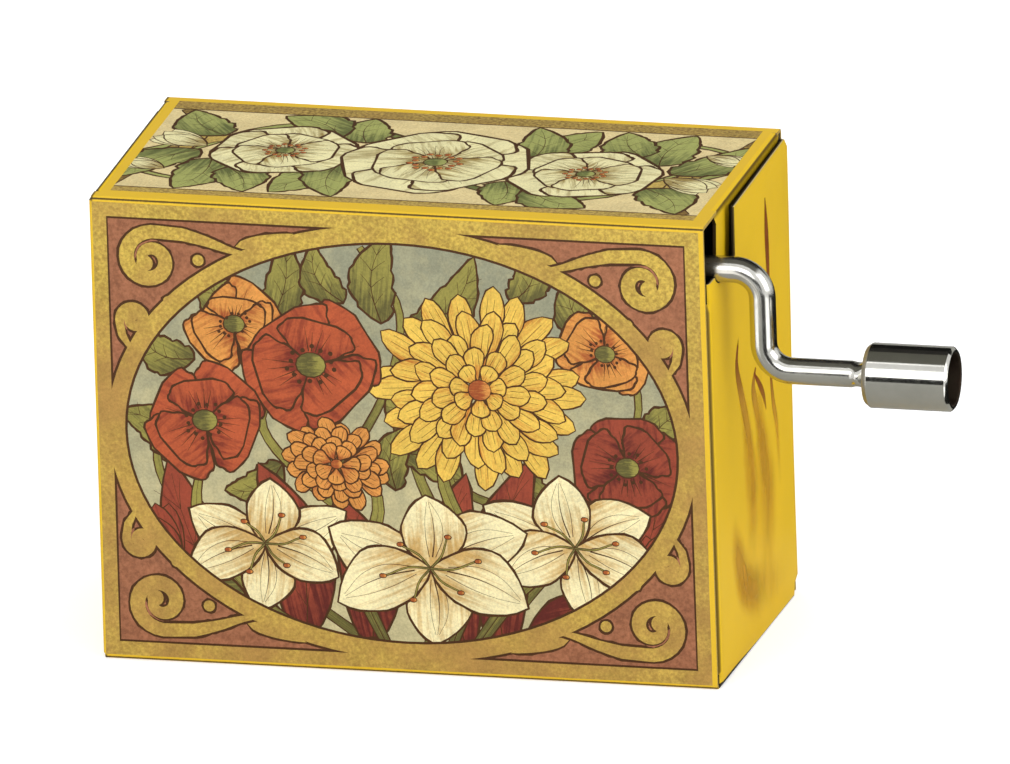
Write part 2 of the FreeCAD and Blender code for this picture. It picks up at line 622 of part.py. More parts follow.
def stake_wings(z):
    """The two ears squeezed out of the wire where it is staked."""
    middle = (STAKE_START + STAKE_END) / 2
    half = WIRE_RADIUS + 0.45
    outline = [Vector(STAKE_START, CRANK_Y - 0.9, z), Vector(middle, CRANK_Y - half, z),
               Vector(STAKE_END, CRANK_Y - half, z), Vector(STAKE_END, CRANK_Y + half, z),
               Vector(middle, CRANK_Y + half, z), Vector(STAKE_START, CRANK_Y + 0.9, z)]
    wings = prism(outline, Z_AXIS * 1.3)
    wings.translate(Vector(0, 0, -0.65))
    return wings


def worm():
    """Single-start worm on the crank shaft, with a plain hub towards the crank.

    With its odd number of half turns, one of its gaps takes the gear's nearest tooth."""
    length = LEAD * WORM_TURNS
    root = WORM_ROOT_RADIUS - 0.15
    sections = []
    for step in range(int(WORM_TURNS * WORM_STEPS) + 1):
        angle = 2 * math.pi * step / WORM_STEPS
        spread = Vector(math.cos(angle), math.sin(angle), 0)
        rise = Z_AXIS * (LEAD * step / WORM_STEPS)
        sections.append([spread * radius + rise + Z_AXIS * half for radius, half in
                         ((root, -0.46), (WORM_TIP_RADIUS, -0.175),
                          (WORM_TIP_RADIUS, 0.175), (root, 0.46))])
    thread = faceted_solid(sections)
    core = flat_sided_rod(WORM_ROOT_RADIUS, Vector(0, 0, -0.75), Z_AXIS, length + 1.5, WORM_STEPS)
    hub = rod(2.2, Vector(0, 0, length + 0.6), Z_AXIS, 2.6)
    shape = thread.fuse([core, hub])
    shape = shape.cut(rod(WIRE_RADIUS, Vector(0, 0, -5), Z_AXIS, 30))
    shape.rotate(Vector(0, 0, 0), Y_AXIS, 90)
    shape.translate(Vector(DRUM_X - length / 2, CRANK_Y, CRANK_Z))
    return shape


def thrust_washer():
    return washer(2.6, WIRE_RADIUS + RUNNING_GAP, Vector(SHAFT_LUGS[0][0] - 0.4, CRANK_Y, CRANK_Z),
                  X_AXIS, 0.3)


def shaft_clip():
    """Spring clip pushed on the inner end of the shaft."""
    start = Vector(-2.5, CRANK_Y, CRANK_Z)
    clip = washer(2.5, WIRE_RADIUS, start, X_AXIS, 0.5)
    mouth = block(-3, -1.5, CRANK_Y - 0.85, CRANK_Y + 0.85, CRANK_Z, CRANK_Z + 4)
    return clip.cut(mouth)


def crank_knob():
    """Plated sleeve that turns on the end of the wire, open at its outer end."""
    z = CRANK_Z - CRANK_THROW
    inner = WIRE_RADIUS + RUNNING_GAP
    profile = [(KNOB_START, inner), (KNOB_START, KNOB_RADIUS - 0.5),
               (KNOB_START + 0.35, KNOB_RADIUS), (KNOB_END - 0.3, KNOB_RADIUS),
               (KNOB_END, KNOB_RADIUS - 0.3), (KNOB_END, KNOB_BORE_RADIUS + 0.15),
               (KNOB_END - 0.2, KNOB_BORE_RADIUS), (KNOB_WEB_END, KNOB_BORE_RADIUS),
               (KNOB_WEB_END, inner)]
    points = [Vector(x, CRANK_Y + radius, z) for x, radius in profile]
    face = Part.Face(Part.makePolygon(points + [points[0]]))
    return face.revolve(Vector(0, CRANK_Y, z), X_AXIS, 360)


def knob_washer():
    return washer(2.2, WIRE_RADIUS, Vector(KNOB_WEB_END + 0.1, CRANK_Y, CRANK_Z - CRANK_THROW),
                  X_AXIS, 0.4)


def parts():
    return {
        "carton_sleeve": carton_sleeve(),
        "right_end_panel": end_panel(1, True),
        "right_top_flap": top_dust_flap(1, TOP_FLAP_FRONT, TOP_FLAP_RELIEF),
        "right_bottom_flap": bottom_dust_flap(1),
        "left_end_panel": end_panel(-1, False),
        "left_top_flap": top_dust_flap(-1, -FLAP_BACK, FLAP_TAPER * 0.2),
        "left_bottom_flap": bottom_dust_flap(-1),
        "adhesive_pads": adhesive_pads(),
        "bedplate": bedplate(),
        "comb": comb(),
        "comb_weights": comb_weights(),
        "comb_screws": comb_screws(),
        "drum_sleeve": drum_sleeve(),
        "drum_pins": drum_pins(),
        "drum_lower_cap": drum_cap(DRUM_FOOT, Z_AXIS),
        "drum_upper_cap": drum_cap(DRUM_TOP, -Z_AXIS),
        "drum_arbor": drum_arbor(),
        "arbor_washer": arbor_washer(),
        "drum_gear": drum_gear(),
        "arbor_bracket": arbor_bracket(),
        "bracket_screws": bracket_screws(),
        "crank_wire": crank_wire(),
        "worm": worm(),
        "thrust_washer": thrust_washer(),
        "shaft_clip": shaft_clip(),
        "crank_knob": crank_knob(),
        "knob_washer": knob_washer(),
    }


os.makedirs("parts", exist_ok=True)
for name, shape in parts().items():
    shape.exportStep(os.path.join("parts", name + ".step"))
    print(name, "valid" if shape.isValid() else "NOT VALID", len(shape.Solids), "solids",
          round(shape.Volume, 2), "mm3")
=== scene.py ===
"""Dresses the hand-cranked music box: printed card, plated crank and comb movement.

The carton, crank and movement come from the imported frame. This script adds the printed
panels, the sprung closing panel, smooth metal and every surface's finish."""

import math
import random

import bmesh
import bpy
import numpy as np
from mathutils import Matrix, Vector
from mathutils.geometry import delaunay_2d_cdt


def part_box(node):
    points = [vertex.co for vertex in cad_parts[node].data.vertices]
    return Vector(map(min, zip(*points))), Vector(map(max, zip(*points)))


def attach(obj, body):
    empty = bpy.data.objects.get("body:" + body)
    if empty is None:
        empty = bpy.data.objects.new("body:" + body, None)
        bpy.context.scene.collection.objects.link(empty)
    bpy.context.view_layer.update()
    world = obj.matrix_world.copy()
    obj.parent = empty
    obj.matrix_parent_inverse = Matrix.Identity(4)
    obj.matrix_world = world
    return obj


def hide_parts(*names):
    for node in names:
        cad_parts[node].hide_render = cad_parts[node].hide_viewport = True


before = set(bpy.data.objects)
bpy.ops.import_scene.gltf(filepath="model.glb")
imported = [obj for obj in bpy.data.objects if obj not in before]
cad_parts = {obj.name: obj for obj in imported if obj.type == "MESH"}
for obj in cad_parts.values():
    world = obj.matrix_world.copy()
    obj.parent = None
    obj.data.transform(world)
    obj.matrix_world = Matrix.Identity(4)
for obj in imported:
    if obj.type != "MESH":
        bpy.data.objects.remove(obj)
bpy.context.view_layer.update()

bl_info = {
    "name": "Hand-cranked music box",
    "version": (1, 0, 0),
    "blender": (4, 5, 0),
    "location": "View3D > Sidebar > Music box",
    "description": "Builds the printed carton, its crank and the comb movement's finishes",
    "category": "Add Mesh",
}

MM = 0.001
X_AXIS = Vector((1, 0, 0))
Y_AXIS = Vector((0, 1, 0))

# The carton's own sizes, in millimetres, read from the frame.
SLEEVE_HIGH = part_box("carton_sleeve")[1] / MM
HALF_LENGTH = SLEEVE_HIGH.x
HALF_DEPTH = SLEEVE_HIGH.y
HEIGHT = SLEEVE_HIGH.z
BOARD = 0.35            # thickness of the card
CREASE = 0.35           # radius of the card's middle layer at a fold
END_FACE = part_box("right_end_panel")[1].x / MM
WIRE_LOW, WIRE_HIGH = (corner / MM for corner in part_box("crank_wire"))
KNOB_LOW, KNOB_HIGH = (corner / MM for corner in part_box("crank_knob"))


def ink_colour(name, description, red, green, blue):
    """A colour property whose default is given in 0 to 255."""
    return bpy.props.FloatVectorProperty(name=name, description=description, size=3, min=0, max=1,
                                         subtype="COLOR_GAMMA",
                                         default=(red / 255, green / 255, blue / 255))


def length(name, description, default, high=100.0):
    """A length property in millimetres."""
    return bpy.props.FloatProperty(name=name, description=description, default=default,
                                   min=0.0, max=high)


def share(name, description, default):
    return bpy.props.FloatProperty(name=name, description=description, default=default,
                                   min=0.0, max=1.0, subtype="FACTOR")


class MusicBoxInks(bpy.types.PropertyGroup):
    """Colours of the card and of its printing inks."""
    card: ink_colour("Card", "Printed yellow of the carton", 226, 185, 42)
    card_side: ink_colour("Card side", "Yellow of the closing panels", 234, 192, 26)
    edge: ink_colour("Edge", "Cut edges of the closing panel", 200, 178, 116)
    board: ink_colour("Board", "Unprinted inside and cut edges of the card", 122, 112, 92)
    # Painted shade: besides a dark line along the folds, this dark colour paints shade where the
    # closing panel tucks in, along far cut edges, on cut edges in gaps and over the low flaps.
    crease_and_shade: ink_colour("Crease And Shade", "Cracked print along the folds", 58, 42, 14)
    # Painted shade: this brown along the dust flaps' folds stands for the shade under the top panel's
    # edge.
    fold: ink_colour("Fold", "Worn brown along the dust flaps' folds", 88, 64, 18)
    line: ink_colour("Line", "Outlines", 74, 44, 16)
    gold: ink_colour("Gold", "Light side of the mottled gold", 220, 190, 84)
    gold_deep: ink_colour("Deep gold", "Dark side of the mottled gold", 156, 124, 54)
    brown_gold: ink_colour("Brown gold", "Duller gold low on the panel and in clouds", 168, 128, 68)
    bronze: ink_colour("Bronze", "Bands of the top panel", 204, 176, 90)
    bronze_deep: ink_colour("Deep bronze", "Dark side of the bands", 118, 92, 44)
    russet: ink_colour("Russet", "Ground of the corner scrolls", 166, 108, 76)
    russet_deep: ink_colour("Deep russet", "Dark side of the corners", 128, 80, 54)
    haze: ink_colour("Haze", "Lower part of the picture's ground", 190, 180, 136)
    haze_deep: ink_colour("Deep haze", "Upper part of the picture's ground", 146, 146, 120)
    straw: ink_colour("Straw", "Tips of the yellow petals", 226, 188, 82)
    straw_deep: ink_colour("Deep straw", "Roots of the yellow petals", 188, 114, 40)
    amber: ink_colour("Amber", "Tips of the orange petals", 214, 146, 70)
    amber_deep: ink_colour("Deep amber", "Roots of the orange petals", 158, 78, 36)
    poppy: ink_colour("Poppy", "Edges of the red petals", 178, 84, 48)
    poppy_deep: ink_colour("Deep poppy", "Roots of the red petals", 122, 46, 30)
    claret: ink_colour("Claret", "Light side of the dark red leaves", 148, 66, 44)
    claret_deep: ink_colour("Deep claret", "Dark side of the dark red leaves", 94, 34, 26)
    cream: ink_colour("Cream", "Edges of the pale petals", 238, 226, 176)
    cream_deep: ink_colour("Deep cream", "Roots of the pale petals", 196, 160, 96)
    pearl: ink_colour("Pearl", "Edges of the top panel's blossoms", 230, 222, 168)
    pearl_deep: ink_colour("Deep pearl", "Folds of the top panel's blossoms", 150, 128, 68)
    moss: ink_colour("Moss", "Light side of the leaves", 146, 138, 66)
    moss_deep: ink_colour("Deep moss", "Dark side of the leaves", 94, 88, 44)
    sage: ink_colour("Sage", "Light side of the top panel's leaves", 160, 164, 92)
    sage_deep: ink_colour("Deep sage", "Dark side of the top panel's leaves", 98, 104, 54)
    sand: ink_colour("Sand", "Ground of the top panel", 223, 204, 148)
    sand_deep: ink_colour("Deep sand", "Darker parts of that ground", 200, 174, 118)
    stroke: ink_colour("Stroke", "Upper ends of the strokes on the closing panel", 122, 42, 10)
    stroke_end: ink_colour("Stroke end", "Lower ends of those strokes", 200, 150, 34)
    wash: ink_colour("Wash", "Soft streaks and blots round the strokes", 190, 142, 32)


class MusicBoxFinishes(bpy.types.PropertyGroup):
    """Metals and plastics."""
    nickel: ink_colour("Nickel", "Plated crank wire and knob", 206, 205, 198)
    bore: ink_colour("Bore", "Blackened inside of the knob", 62, 50, 42)
    zinc: ink_colour("Zinc", "Cast bedplate", 150, 152, 152)
    steel: ink_colour("Steel", "Comb and bracket", 168, 168, 164)
    lead: ink_colour("Lead", "Weights under the comb", 92, 94, 98)
    brass: ink_colour("Brass", "Drum and washers", 206, 170, 96)
    black_plastic: ink_colour("Black plastic", "Drum caps", 34, 34, 36)
    pale_plastic: ink_colour("Pale plastic", "Worm and gear", 226, 222, 208)
    foam: ink_colour("Foam", "Tape behind the bedplate", 226, 224, 214)
    nickel_roughness: share("Nickel roughness", "Polish of the plating", 0.13)
    card_roughness: share("Card roughness", "Sheen of the printed card", 0.48)


class MusicBoxSizes(bpy.types.PropertyGroup):
    """Sizes of the print and the folds, in millimetres."""
    outline: length("Outline", "Width of the drawn outlines", 0.27, 1.0)
    fine_line: length("Fine line", "Width of the lines inside a petal", 0.13, 1.0)
    band: length("Band", "Width of the gold band round the picture", 1.5, 6.0)
    ring: length("Ring", "Width of the gold ring round the oval", 1.8, 6.0)
    ink_height: length("Ink height", "How far the print stands above the card", 0.012, 0.1)
    spring: length("Spring", "How far the closing panel springs open at its top", 0.8, 1.5)
    flap_lean: length("Flap lean", "How far the dust flap leans in behind it", 0.5, 3.0)


def inks():
    return bpy.context.scene.music_box_inks


def finishes():
    return bpy.context.scene.music_box_finishes


def sizes():
    return bpy.context.scene.music_box_sizes


# Shader helpers

def linear(colour):
    """Linear colour with alpha from a display colour."""
    return [c / 12.92 if c <= 0.04045 else ((c + 0.055) / 1.055) ** 2.4 for c in colour] + [1.0]


class Wiring:
    """Adds nodes to a tree. Inputs are values or the sockets that feed them."""

    def __init__(self, tree):
        self.tree = tree

    def add(self, kind, inputs=None, **settings):
        node = self.tree.nodes.new(kind)
        for name, value in settings.items():
            setattr(node, name, value)
        for name, value in (inputs or {}).items():
            socket = node.inputs[name]
            if isinstance(value, bpy.types.NodeSocket):
                self.tree.links.new(value, socket)
            else:
                socket.default_value = value
        return node

    def maths(self, operation, a, b=0.0, c=0.0):
        return self.add("ShaderNodeMath", {0: a, 1: b, 2: c}, operation=operation).outputs[0]

    def plus(self, a, b):
        return self.maths("ADD", a, b)

    def minus(self, a, b):
        return self.maths("SUBTRACT", a, b)

    def times(self, a, b):
        return self.maths("MULTIPLY", a, b)

    def clamped(self, value):
        return self.add("ShaderNodeClamp", {"Value": value}).outputs[0]

    def fade(self, value, low, high, start=0.0, end=1.0):
        """Smooth step from start at low to end at high."""
        return self.add("ShaderNodeMapRange", {"Value": value, "From Min": low, "From Max": high,
                                               "To Min": start, "To Max": end},
                        interpolation_type="SMOOTHSTEP").outputs["Result"]

    def mix(self, factor, a, b, blend="MIX"):
        node = self.add("ShaderNodeMix", {"Factor": factor}, data_type="RGBA", blend_type=blend)
        for socket, value in ((node.inputs[6], a), (node.inputs[7], b)):
            if isinstance(value, bpy.types.NodeSocket):
                self.tree.links.new(value, socket)
            else:
                socket.default_value = value
        return node.outputs[2]

    def noise(self, vector, scale, detail=2.0, roughness=0.5):
        return self.add("ShaderNodeTexNoise", {"Vector": vector, "Scale": scale, "Detail": detail,
                                               "Roughness": roughness}).outputs["Fac"]

    def grey(self, shade):
        return self.add("ShaderNodeCombineColor", {0: shade, 1: shade, 2: shade}).outputs[0]

    def split(self, vector):
        """The X, Y and Z of a vector."""
        return self.add("ShaderNodeSeparateXYZ", {"Vector": vector}).outputs

    def scaled(self, vector, scale):
        return self.add("ShaderNodeMapping", {"Vector": vector, "Scale": scale}).outputs["Vector"]

    def place(self):
        """Object coordinates in millimetres."""
        vector = self.add("ShaderNodeTexCoord").outputs["Object"]
        return self.scaled(vector, (1 / MM, 1 / MM, 1 / MM))

    def send(self, outputs, **values):
        """Links the values to a group's outputs of the same names."""
        for label, value in values.items():
            self.tree.links.new(value, outputs[label])


def shader_group(name, inputs, outputs):
    """An empty node group with the named sockets. Each is (name, kind, default)."""
    group = bpy.data.node_groups.new(name, "ShaderNodeTree")
    for label, kind, default in inputs:
        socket = group.interface.new_socket(label, in_out="INPUT", socket_type="NodeSocket" + kind)
        socket.default_value = default
    for label, kind in outputs:
        group.interface.new_socket(label, in_out="OUTPUT", socket_type="NodeSocket" + kind)
    wiring = Wiring(group)
    return group, wiring, wiring.add("NodeGroupInput").outputs, wiring.add("NodeGroupOutput").inputs


def ink_group():
    """Print on paper: a petal's light and deep colours, streaks, mottling and grain."""
    group, w, given, out = shader_group(
        "printed_ink",
        [("Light", "Color", (1, 1, 1, 1)), ("Deep", "Color", (0, 0, 0, 1)),
         ("Reach", "Float", 0.6), ("Streaks", "Float", 0.5), ("Mottle", "Float", 0.3),
         ("Mottle Size", "Float", 0.6), ("Edge", "Float", 0.0), ("Soft Edge", "Float", 0.6),
         ("Cloud", "Color", (0, 0, 0, 1)), ("Clouds", "Float", 0.0)],
        [("Color", "Color"), ("Roughness", "Float"), ("Height", "Float"), ("Cover", "Float")])
    along_across = w.split(w.add("ShaderNodeUVMap", uv_map="petal").outputs["UV"])
    along = along_across["X"]
    tone = w.add("ShaderNodeAttribute", attribute_name="tone").outputs["Fac"]
    place = w.place()
    across = w.maths("ABSOLUTE", along_across["Y"])
    streak_place = w.add("ShaderNodeCombineXYZ", {
        "X": w.times(along, 1.6), "Y": w.times(along_across["Y"], 7.0),
        "Z": w.times(tone, 40.0)}).outputs[0]
    streaks = w.fade(w.noise(streak_place, 1.0, 3.0, 0.6), 0.35, 0.68)
    depth = w.minus(1.0, w.fade(along, 0.0, given["Reach"]))
    depth = w.plus(depth, w.times(w.minus(streaks, 0.5), given["Streaks"]))
    depth = w.plus(depth, w.times(w.times(across, across), given["Edge"]))
    cell_scale = w.maths("DIVIDE", 1.0, given["Mottle Size"])
    cells = w.fade(w.noise(place, cell_scale, 3.0, 0.55), 0.25, 0.75)
    depth = w.plus(depth, w.times(w.minus(cells, 0.5), given["Mottle"]))
    depth = w.clamped(w.plus(depth, w.times(w.minus(tone, 0.5), 0.25)))
    colour = w.mix(depth, given["Light"], given["Deep"])
    # Clouds of the cloud colour gather low on the upright panels.
    height = w.split(place)["Z"]
    cloudy = w.plus(w.fade(w.noise(place, 0.16, 3.0, 0.6), 0.3, 0.7, -0.25, 0.45),
                    w.fade(height, HEIGHT - 1.0, HEIGHT * 0.6, 0.0, 0.55))
    cloudy = w.clamped(cloudy)
    colour = w.mix(w.times(cloudy, given["Clouds"]), colour, given["Cloud"])
    grain = w.noise(place, 4.5, 4.0, 0.75)
    blots = w.noise(place, 0.3, 3.0, 0.6)
    shade = w.plus(w.fade(grain, 0.3, 0.7, 0.84, 1.12), w.fade(blots, 0.3, 0.7, -0.09, 0.08))
    w.send(out, Color=w.mix(1.0, colour, w.grey(shade), "MULTIPLY"),
           Roughness=w.fade(grain, 0.3, 0.7, 0.5, 0.62), Height=w.times(grain, 0.4))
    # A stroke's sides are crisp at its upper end and soft lower down.
    firm = w.times(given["Soft Edge"], w.fade(along, 0.9, 0.0))
    begun = w.fade(along, 0.0, w.maths("MULTIPLY_ADD", given["Soft Edge"], -0.4, 0.36))
    soft = w.times(w.fade(across, 1.0, firm), w.times(begun, w.fade(along, 1.0, 0.45)))
    patchy = w.fade(w.noise(w.scaled(place, (1.0, 0.5, 0.15)), 0.6, 3.0, 0.6), 0.3, 0.65, 0.4, 0.75)
    patchy = w.maths("MAXIMUM", patchy, w.times(given["Soft Edge"], 1.6))
    w.send(out, Cover=w.times(soft, patchy))
    return group


def card_group():
    """Printed card: fibres, faint waviness, dark lines along the folds, raw cut edges and bare inside,
    with painted shade at the flaps' folds, where the panel tucks in, in gaps, along the foot and along
    the far end's cut edges.
    """
    group, w, given, out = shader_group(
        "printed_card",
        [("Print", "Color", (1, 1, 1, 1)), ("Board", "Color", (1, 1, 1, 1)),
         ("Crease And Shade", "Color", (0, 0, 0, 1)), ("Half Depth", "Float", HALF_DEPTH),
         ("Height", "Float", HEIGHT), ("Cut X", "Float", HALF_LENGTH), ("Roughness", "Float", 0.5),
         ("Fold", "Color", (0, 0, 0, 1)), ("Fold Shade", "Float", 0.0), ("Fold Fade", "Float", 0.95),
         ("Rim", "Float", 0.0), ("Rim Width", "Float", 0.3), ("Tuck", "Float", 0.0),
         ("Scorch", "Float", 0.0), ("Foot", "Float", 0.0), ("Shadowed", "Float", 0.0)],
        [("Color", "Color"), ("Roughness", "Float"), ("Height", "Float")])
    place = w.place()
    at = w.split(place)
    fibres = w.noise(w.scaled(place, (1.0, 3.0, 3.0)), 3.0, 4.0, 0.7)
    specks = w.noise(place, 9.0, 2.0, 0.6)
    clouds = w.noise(place, 0.12, 2.0, 0.5)
    shade = w.plus(w.fade(fibres, 0.3, 0.7, 0.975, 1.02),
                   w.plus(w.fade(specks, 0.3, 0.7, -0.02, 0.02),
                          w.fade(clouds, 0.3, 0.7, -0.02, 0.02)))
    colour = w.mix(1.0, given["Print"], w.grey(shade), "MULTIPLY")
    side = w.minus(given["Half Depth"], w.maths("ABSOLUTE", at["Y"]))
    half = w.times(given["Height"], 0.5)
    rise = w.minus(half, w.maths("ABSOLUTE", w.minus(at["Z"], half)))
    # A dark line runs along each fold, just below the fold's middle.
    skew = w.maths("ABSOLUTE", w.minus(w.minus(rise, side), 0.1))
    near = w.times(w.fade(side, 0.45, 0.2), w.fade(rise, 0.6, 0.3))
    wavering = w.noise(w.scaled(place, (2.0, 0.4, 0.4)), 3.0, 3.0, 0.7)
    fold_line = w.times(w.fade(skew, w.maths("MULTIPLY_ADD", wavering, 0.24, 0.12), 0.05), near)
    colour = w.mix(w.times(fold_line, 0.95), colour, given["Crease And Shade"])
    # Print is on faces that look away from the carton's middle, on its walls, ends and flap folds.
    normal = w.split(w.add("ShaderNodeTexCoord").outputs["Normal"])
    above = w.minus(at["Z"], half)
    outward = [w.times(normal[axis], w.maths("SIGN", value))
               for axis, value in (("X", at["X"]), ("Y", at["Y"]), ("Z", above))]
    printed = w.fade(outward[0], 0.25, 0.4)
    for value, depth in ((outward[1], side), (outward[2], rise)):
        wall = w.times(w.fade(value, 0.25, 0.4), w.fade(depth, 0.56, 0.53))
        printed = w.maths("MAXIMUM", printed, wall)
    colour = w.mix(printed, given["Board"], colour)
    # Painted shade: a flap's fold is painted brown along the line where it folds, for the shade under
    # the top panel's edge.
    fold = w.times(w.fade(rise, given["Fold Fade"], 0.2), given["Fold Shade"])
    fold = w.times(fold, w.fade(outward[2], 0.9, 0.5))
    colour = w.mix(fold, colour, given["Fold"])
    # Painted shade: the closing panel is painted dark where it turns in behind the front, for the gap's
    # shade there.
    tuck = w.times(w.fade(normal["Y"], -0.3, -0.85), given["Tuck"])
    colour = w.mix(tuck, colour, given["Crease And Shade"])
    # Painted shade: the dust flap is painted dark behind the panel, for the gap's shadow, and the panel
    # is painted dark along its foot, for the shadow under it.
    behind = w.times(w.fade(rise, 0.95, 1.2), w.fade(at["Y"], -5.6, -5.35))
    painted_shade = w.times(behind, given["Scorch"])
    foot = w.fade(at["Y"], 1.0, -14.0, 0.12, 0.52)
    foot = w.fade(at["Z"], w.plus(foot, 0.1), foot)
    painted_shade = w.maths("MAXIMUM", painted_shade, w.times(foot, given["Foot"]))
    # Painted shadow: the inner half of a cut edge is painted dark, for the slit's shadow.
    level = w.add("ShaderNodeAttribute", attribute_name="level").outputs["Fac"]
    inner = w.times(w.fade(level, 0.68, 0.48), given["Shadowed"])
    inner = w.times(inner, w.minus(1.0, printed))
    painted_shade = w.maths("MAXIMUM", painted_shade, inner)
    colour = w.mix(painted_shade, colour, linear((0.09, 0.06, 0.03)))
    # By the far end, the cut edges near the top and bottom are painted dark, as painted shade. The cuts
    # show the board's layers.
    cut = w.minus(w.maths("ABSOLUTE", at["X"]), given["Cut X"])
    width = w.times(given["Rim Width"], -1.0)
    painted_edge_shade = w.times(w.fade(cut, width, w.times(width, 0.5)),
                   w.times(w.fade(at["X"], 0.0, -1.0), w.fade(rise, 0.6, 0.36)))
    colour = w.mix(w.times(painted_edge_shade, given["Rim"]), colour, given["Crease And Shade"])
    layers = w.noise(w.scaled(place, (8.0, 14.0, 14.0)), 1.5, 2.0, 0.6)
    edge = w.mix(w.fade(layers, 0.35, 0.65), given["Board"], given["Print"])
    colour = w.mix(w.fade(cut, -0.012, -0.004), colour, edge)
    w.send(out, Color=colour,
           Roughness=w.plus(given["Roughness"], w.fade(fibres, 0.3, 0.7, -0.04, 0.06)),
           Height=w.plus(w.times(fibres, 0.5), w.times(specks, 0.2)))
    return group


def metal_group():
    """Metal: fine lines along one direction, pits and a little tarnish."""
    group, w, given, out = shader_group(
        "worked_metal",
        [("Color", "Color", (1, 1, 1, 1)), ("Roughness", "Float", 0.2),
         ("Stretch", "Vector", (1, 1, 1)), ("Line Size", "Float", 0.1),
         ("Pits", "Float", 0.0), ("Tarnish", "Float", 0.1)],
        [("Color", "Color"), ("Roughness", "Float"), ("Height", "Float")])
    place = w.place()
    stretched = w.add("ShaderNodeVectorMath", {0: place, 1: given["Stretch"]},
                      operation="MULTIPLY").outputs[0]
    lines = w.noise(stretched, w.maths("DIVIDE", 1.0, given["Line Size"]), 3.0, 0.6)
    pits = w.noise(place, 2.4, 4.0, 0.7)
    clouds = w.noise(place, 0.5, 3.0, 0.6)
    tarnish = w.times(w.fade(clouds, 0.35, 0.75), given["Tarnish"])
    colour = w.mix(tarnish, given["Color"], linear((0.30, 0.27, 0.22)))
    rough = w.plus(given["Roughness"], w.times(w.fade(lines, 0.3, 0.7), 0.07))
    w.send(out, Color=colour, Roughness=w.plus(rough, w.times(tarnish, 0.35)),
           Height=w.plus(lines, w.times(w.fade(pits, 0.55, 0.75), given["Pits"])))
    return group


def grain_group():
    """Moulded or foamed plastic: fine grain with faint flow marks."""
    group, w, given, out = shader_group(
        "moulded_grain",
        [("Color", "Color", (1, 1, 1, 1)), ("Grain Size", "Float", 0.2), ("Depth", "Float", 0.5)],
        [("Color", "Color"), ("Roughness", "Float"), ("Height", "Float")])
    place = w.place()
    grain = w.noise(place, w.maths("DIVIDE", 1.0, given["Grain Size"]), 3.0, 0.6)
    flow = w.noise(w.scaled(place, (0.3, 0.3, 1.2)), 0.8, 2.0, 0.5)
    shade = w.plus(w.fade(grain, 0.3, 0.7, 0.95, 1.02), w.fade(flow, 0.3, 0.7, -0.03, 0.03))
    w.send(out, Color=w.mix(1.0, given["Color"], w.grey(shade), "MULTIPLY"),
           Roughness=w.fade(grain, 0.3, 0.7, 0.34, 0.5), Height=w.times(grain, given["Depth"]))
    return group


def shared_group(name, make):
    """The group of that name, made the first time."""
    return bpy.data.node_groups.get(name) or make()


def surface(name, group, values, bump, metallic=0.0, specular=0.5, use_cover=False):
    """A material whose Principled shader is fed by one of the shared groups."""
    found = bpy.data.materials.get(name)
    if found:
        return found
    material = bpy.data.materials.new(name)
    material.use_nodes = True
    tree = material.node_tree
    tree.nodes.clear()
    w = Wiring(tree)
    effect = w.add("ShaderNodeGroup", node_tree=group)
    for label, value in values.items():
        effect.inputs[label].default_value = value
    bumped = w.add("ShaderNodeBump", {"Height": effect.outputs["Height"], "Strength": bump[0],
                                      "Distance": bump[1] * MM}).outputs["Normal"]
    shader = w.add("ShaderNodeBsdfPrincipled", {
        "Base Color": effect.outputs["Color"], "Roughness": effect.outputs["Roughness"],
        "Metallic": metallic, "Specular IOR Level": specular, "Normal": bumped})
    if use_cover:
        tree.links.new(effect.outputs["Cover"], shader.inputs["Alpha"])
    w.add("ShaderNodeOutputMaterial", {"Surface": shader.outputs["BSDF"]})
    return material


# How each ink takes: its light and deep colours, then reach, streaks, mottle, mottle size, edge.
INK_WAYS = {
    "line": ("line", "line", 0.0, 0.0, 0.0, 0.5, 0.0),
    "gold": ("gold", "gold_deep", 1.0, 0.0, 0.7, 0.36, 0.0),
    "bronze": ("bronze", "bronze_deep", 1.0, 0.0, 0.8, 0.36, 0.0),
    "russet": ("russet", "russet_deep", 0.8, 0.0, 0.8, 0.5, 0.0),
    "haze": ("haze", "haze_deep", 0.9, 0.25, 0.35, 1.4, 0.0),
    "straw": ("straw", "straw_deep", 0.75, 0.75, 0.25, 0.5, 0.3),
    "amber": ("amber", "amber_deep", 0.8, 0.8, 0.25, 0.6, 0.3),
    "poppy": ("poppy", "poppy_deep", 0.8, 0.9, 0.35, 0.8, 0.25),
    "claret": ("claret", "claret_deep", 0.7, 0.9, 0.4, 0.9, 0.3),
    "cream": ("cream", "cream_deep", 0.8, 0.7, 0.3, 0.6, 0.2),
    "pearl": ("pearl", "pearl_deep", 0.85, 0.9, 0.25, 0.7, 0.25),
    "moss": ("moss", "moss_deep", 0.6, 0.8, 0.4, 0.8, 0.25),
    "sage": ("sage", "sage_deep", 0.6, 0.8, 0.35, 0.7, 0.25),
    "sand": ("sand", "sand_deep", 0.0, 0.0, 0.8, 0.35, 0.0),
    "stroke": ("stroke_end", "stroke", 0.6, 0.0, 0.1, 0.8, 0.0),
    "wash": ("wash", "wash", 0.0, 0.3, 0.2, 2.0, 0.0),
}
SOFT_INKS = ("stroke", "wash")
CLOUDED = {"gold": 0.85, "bronze": 0.5}


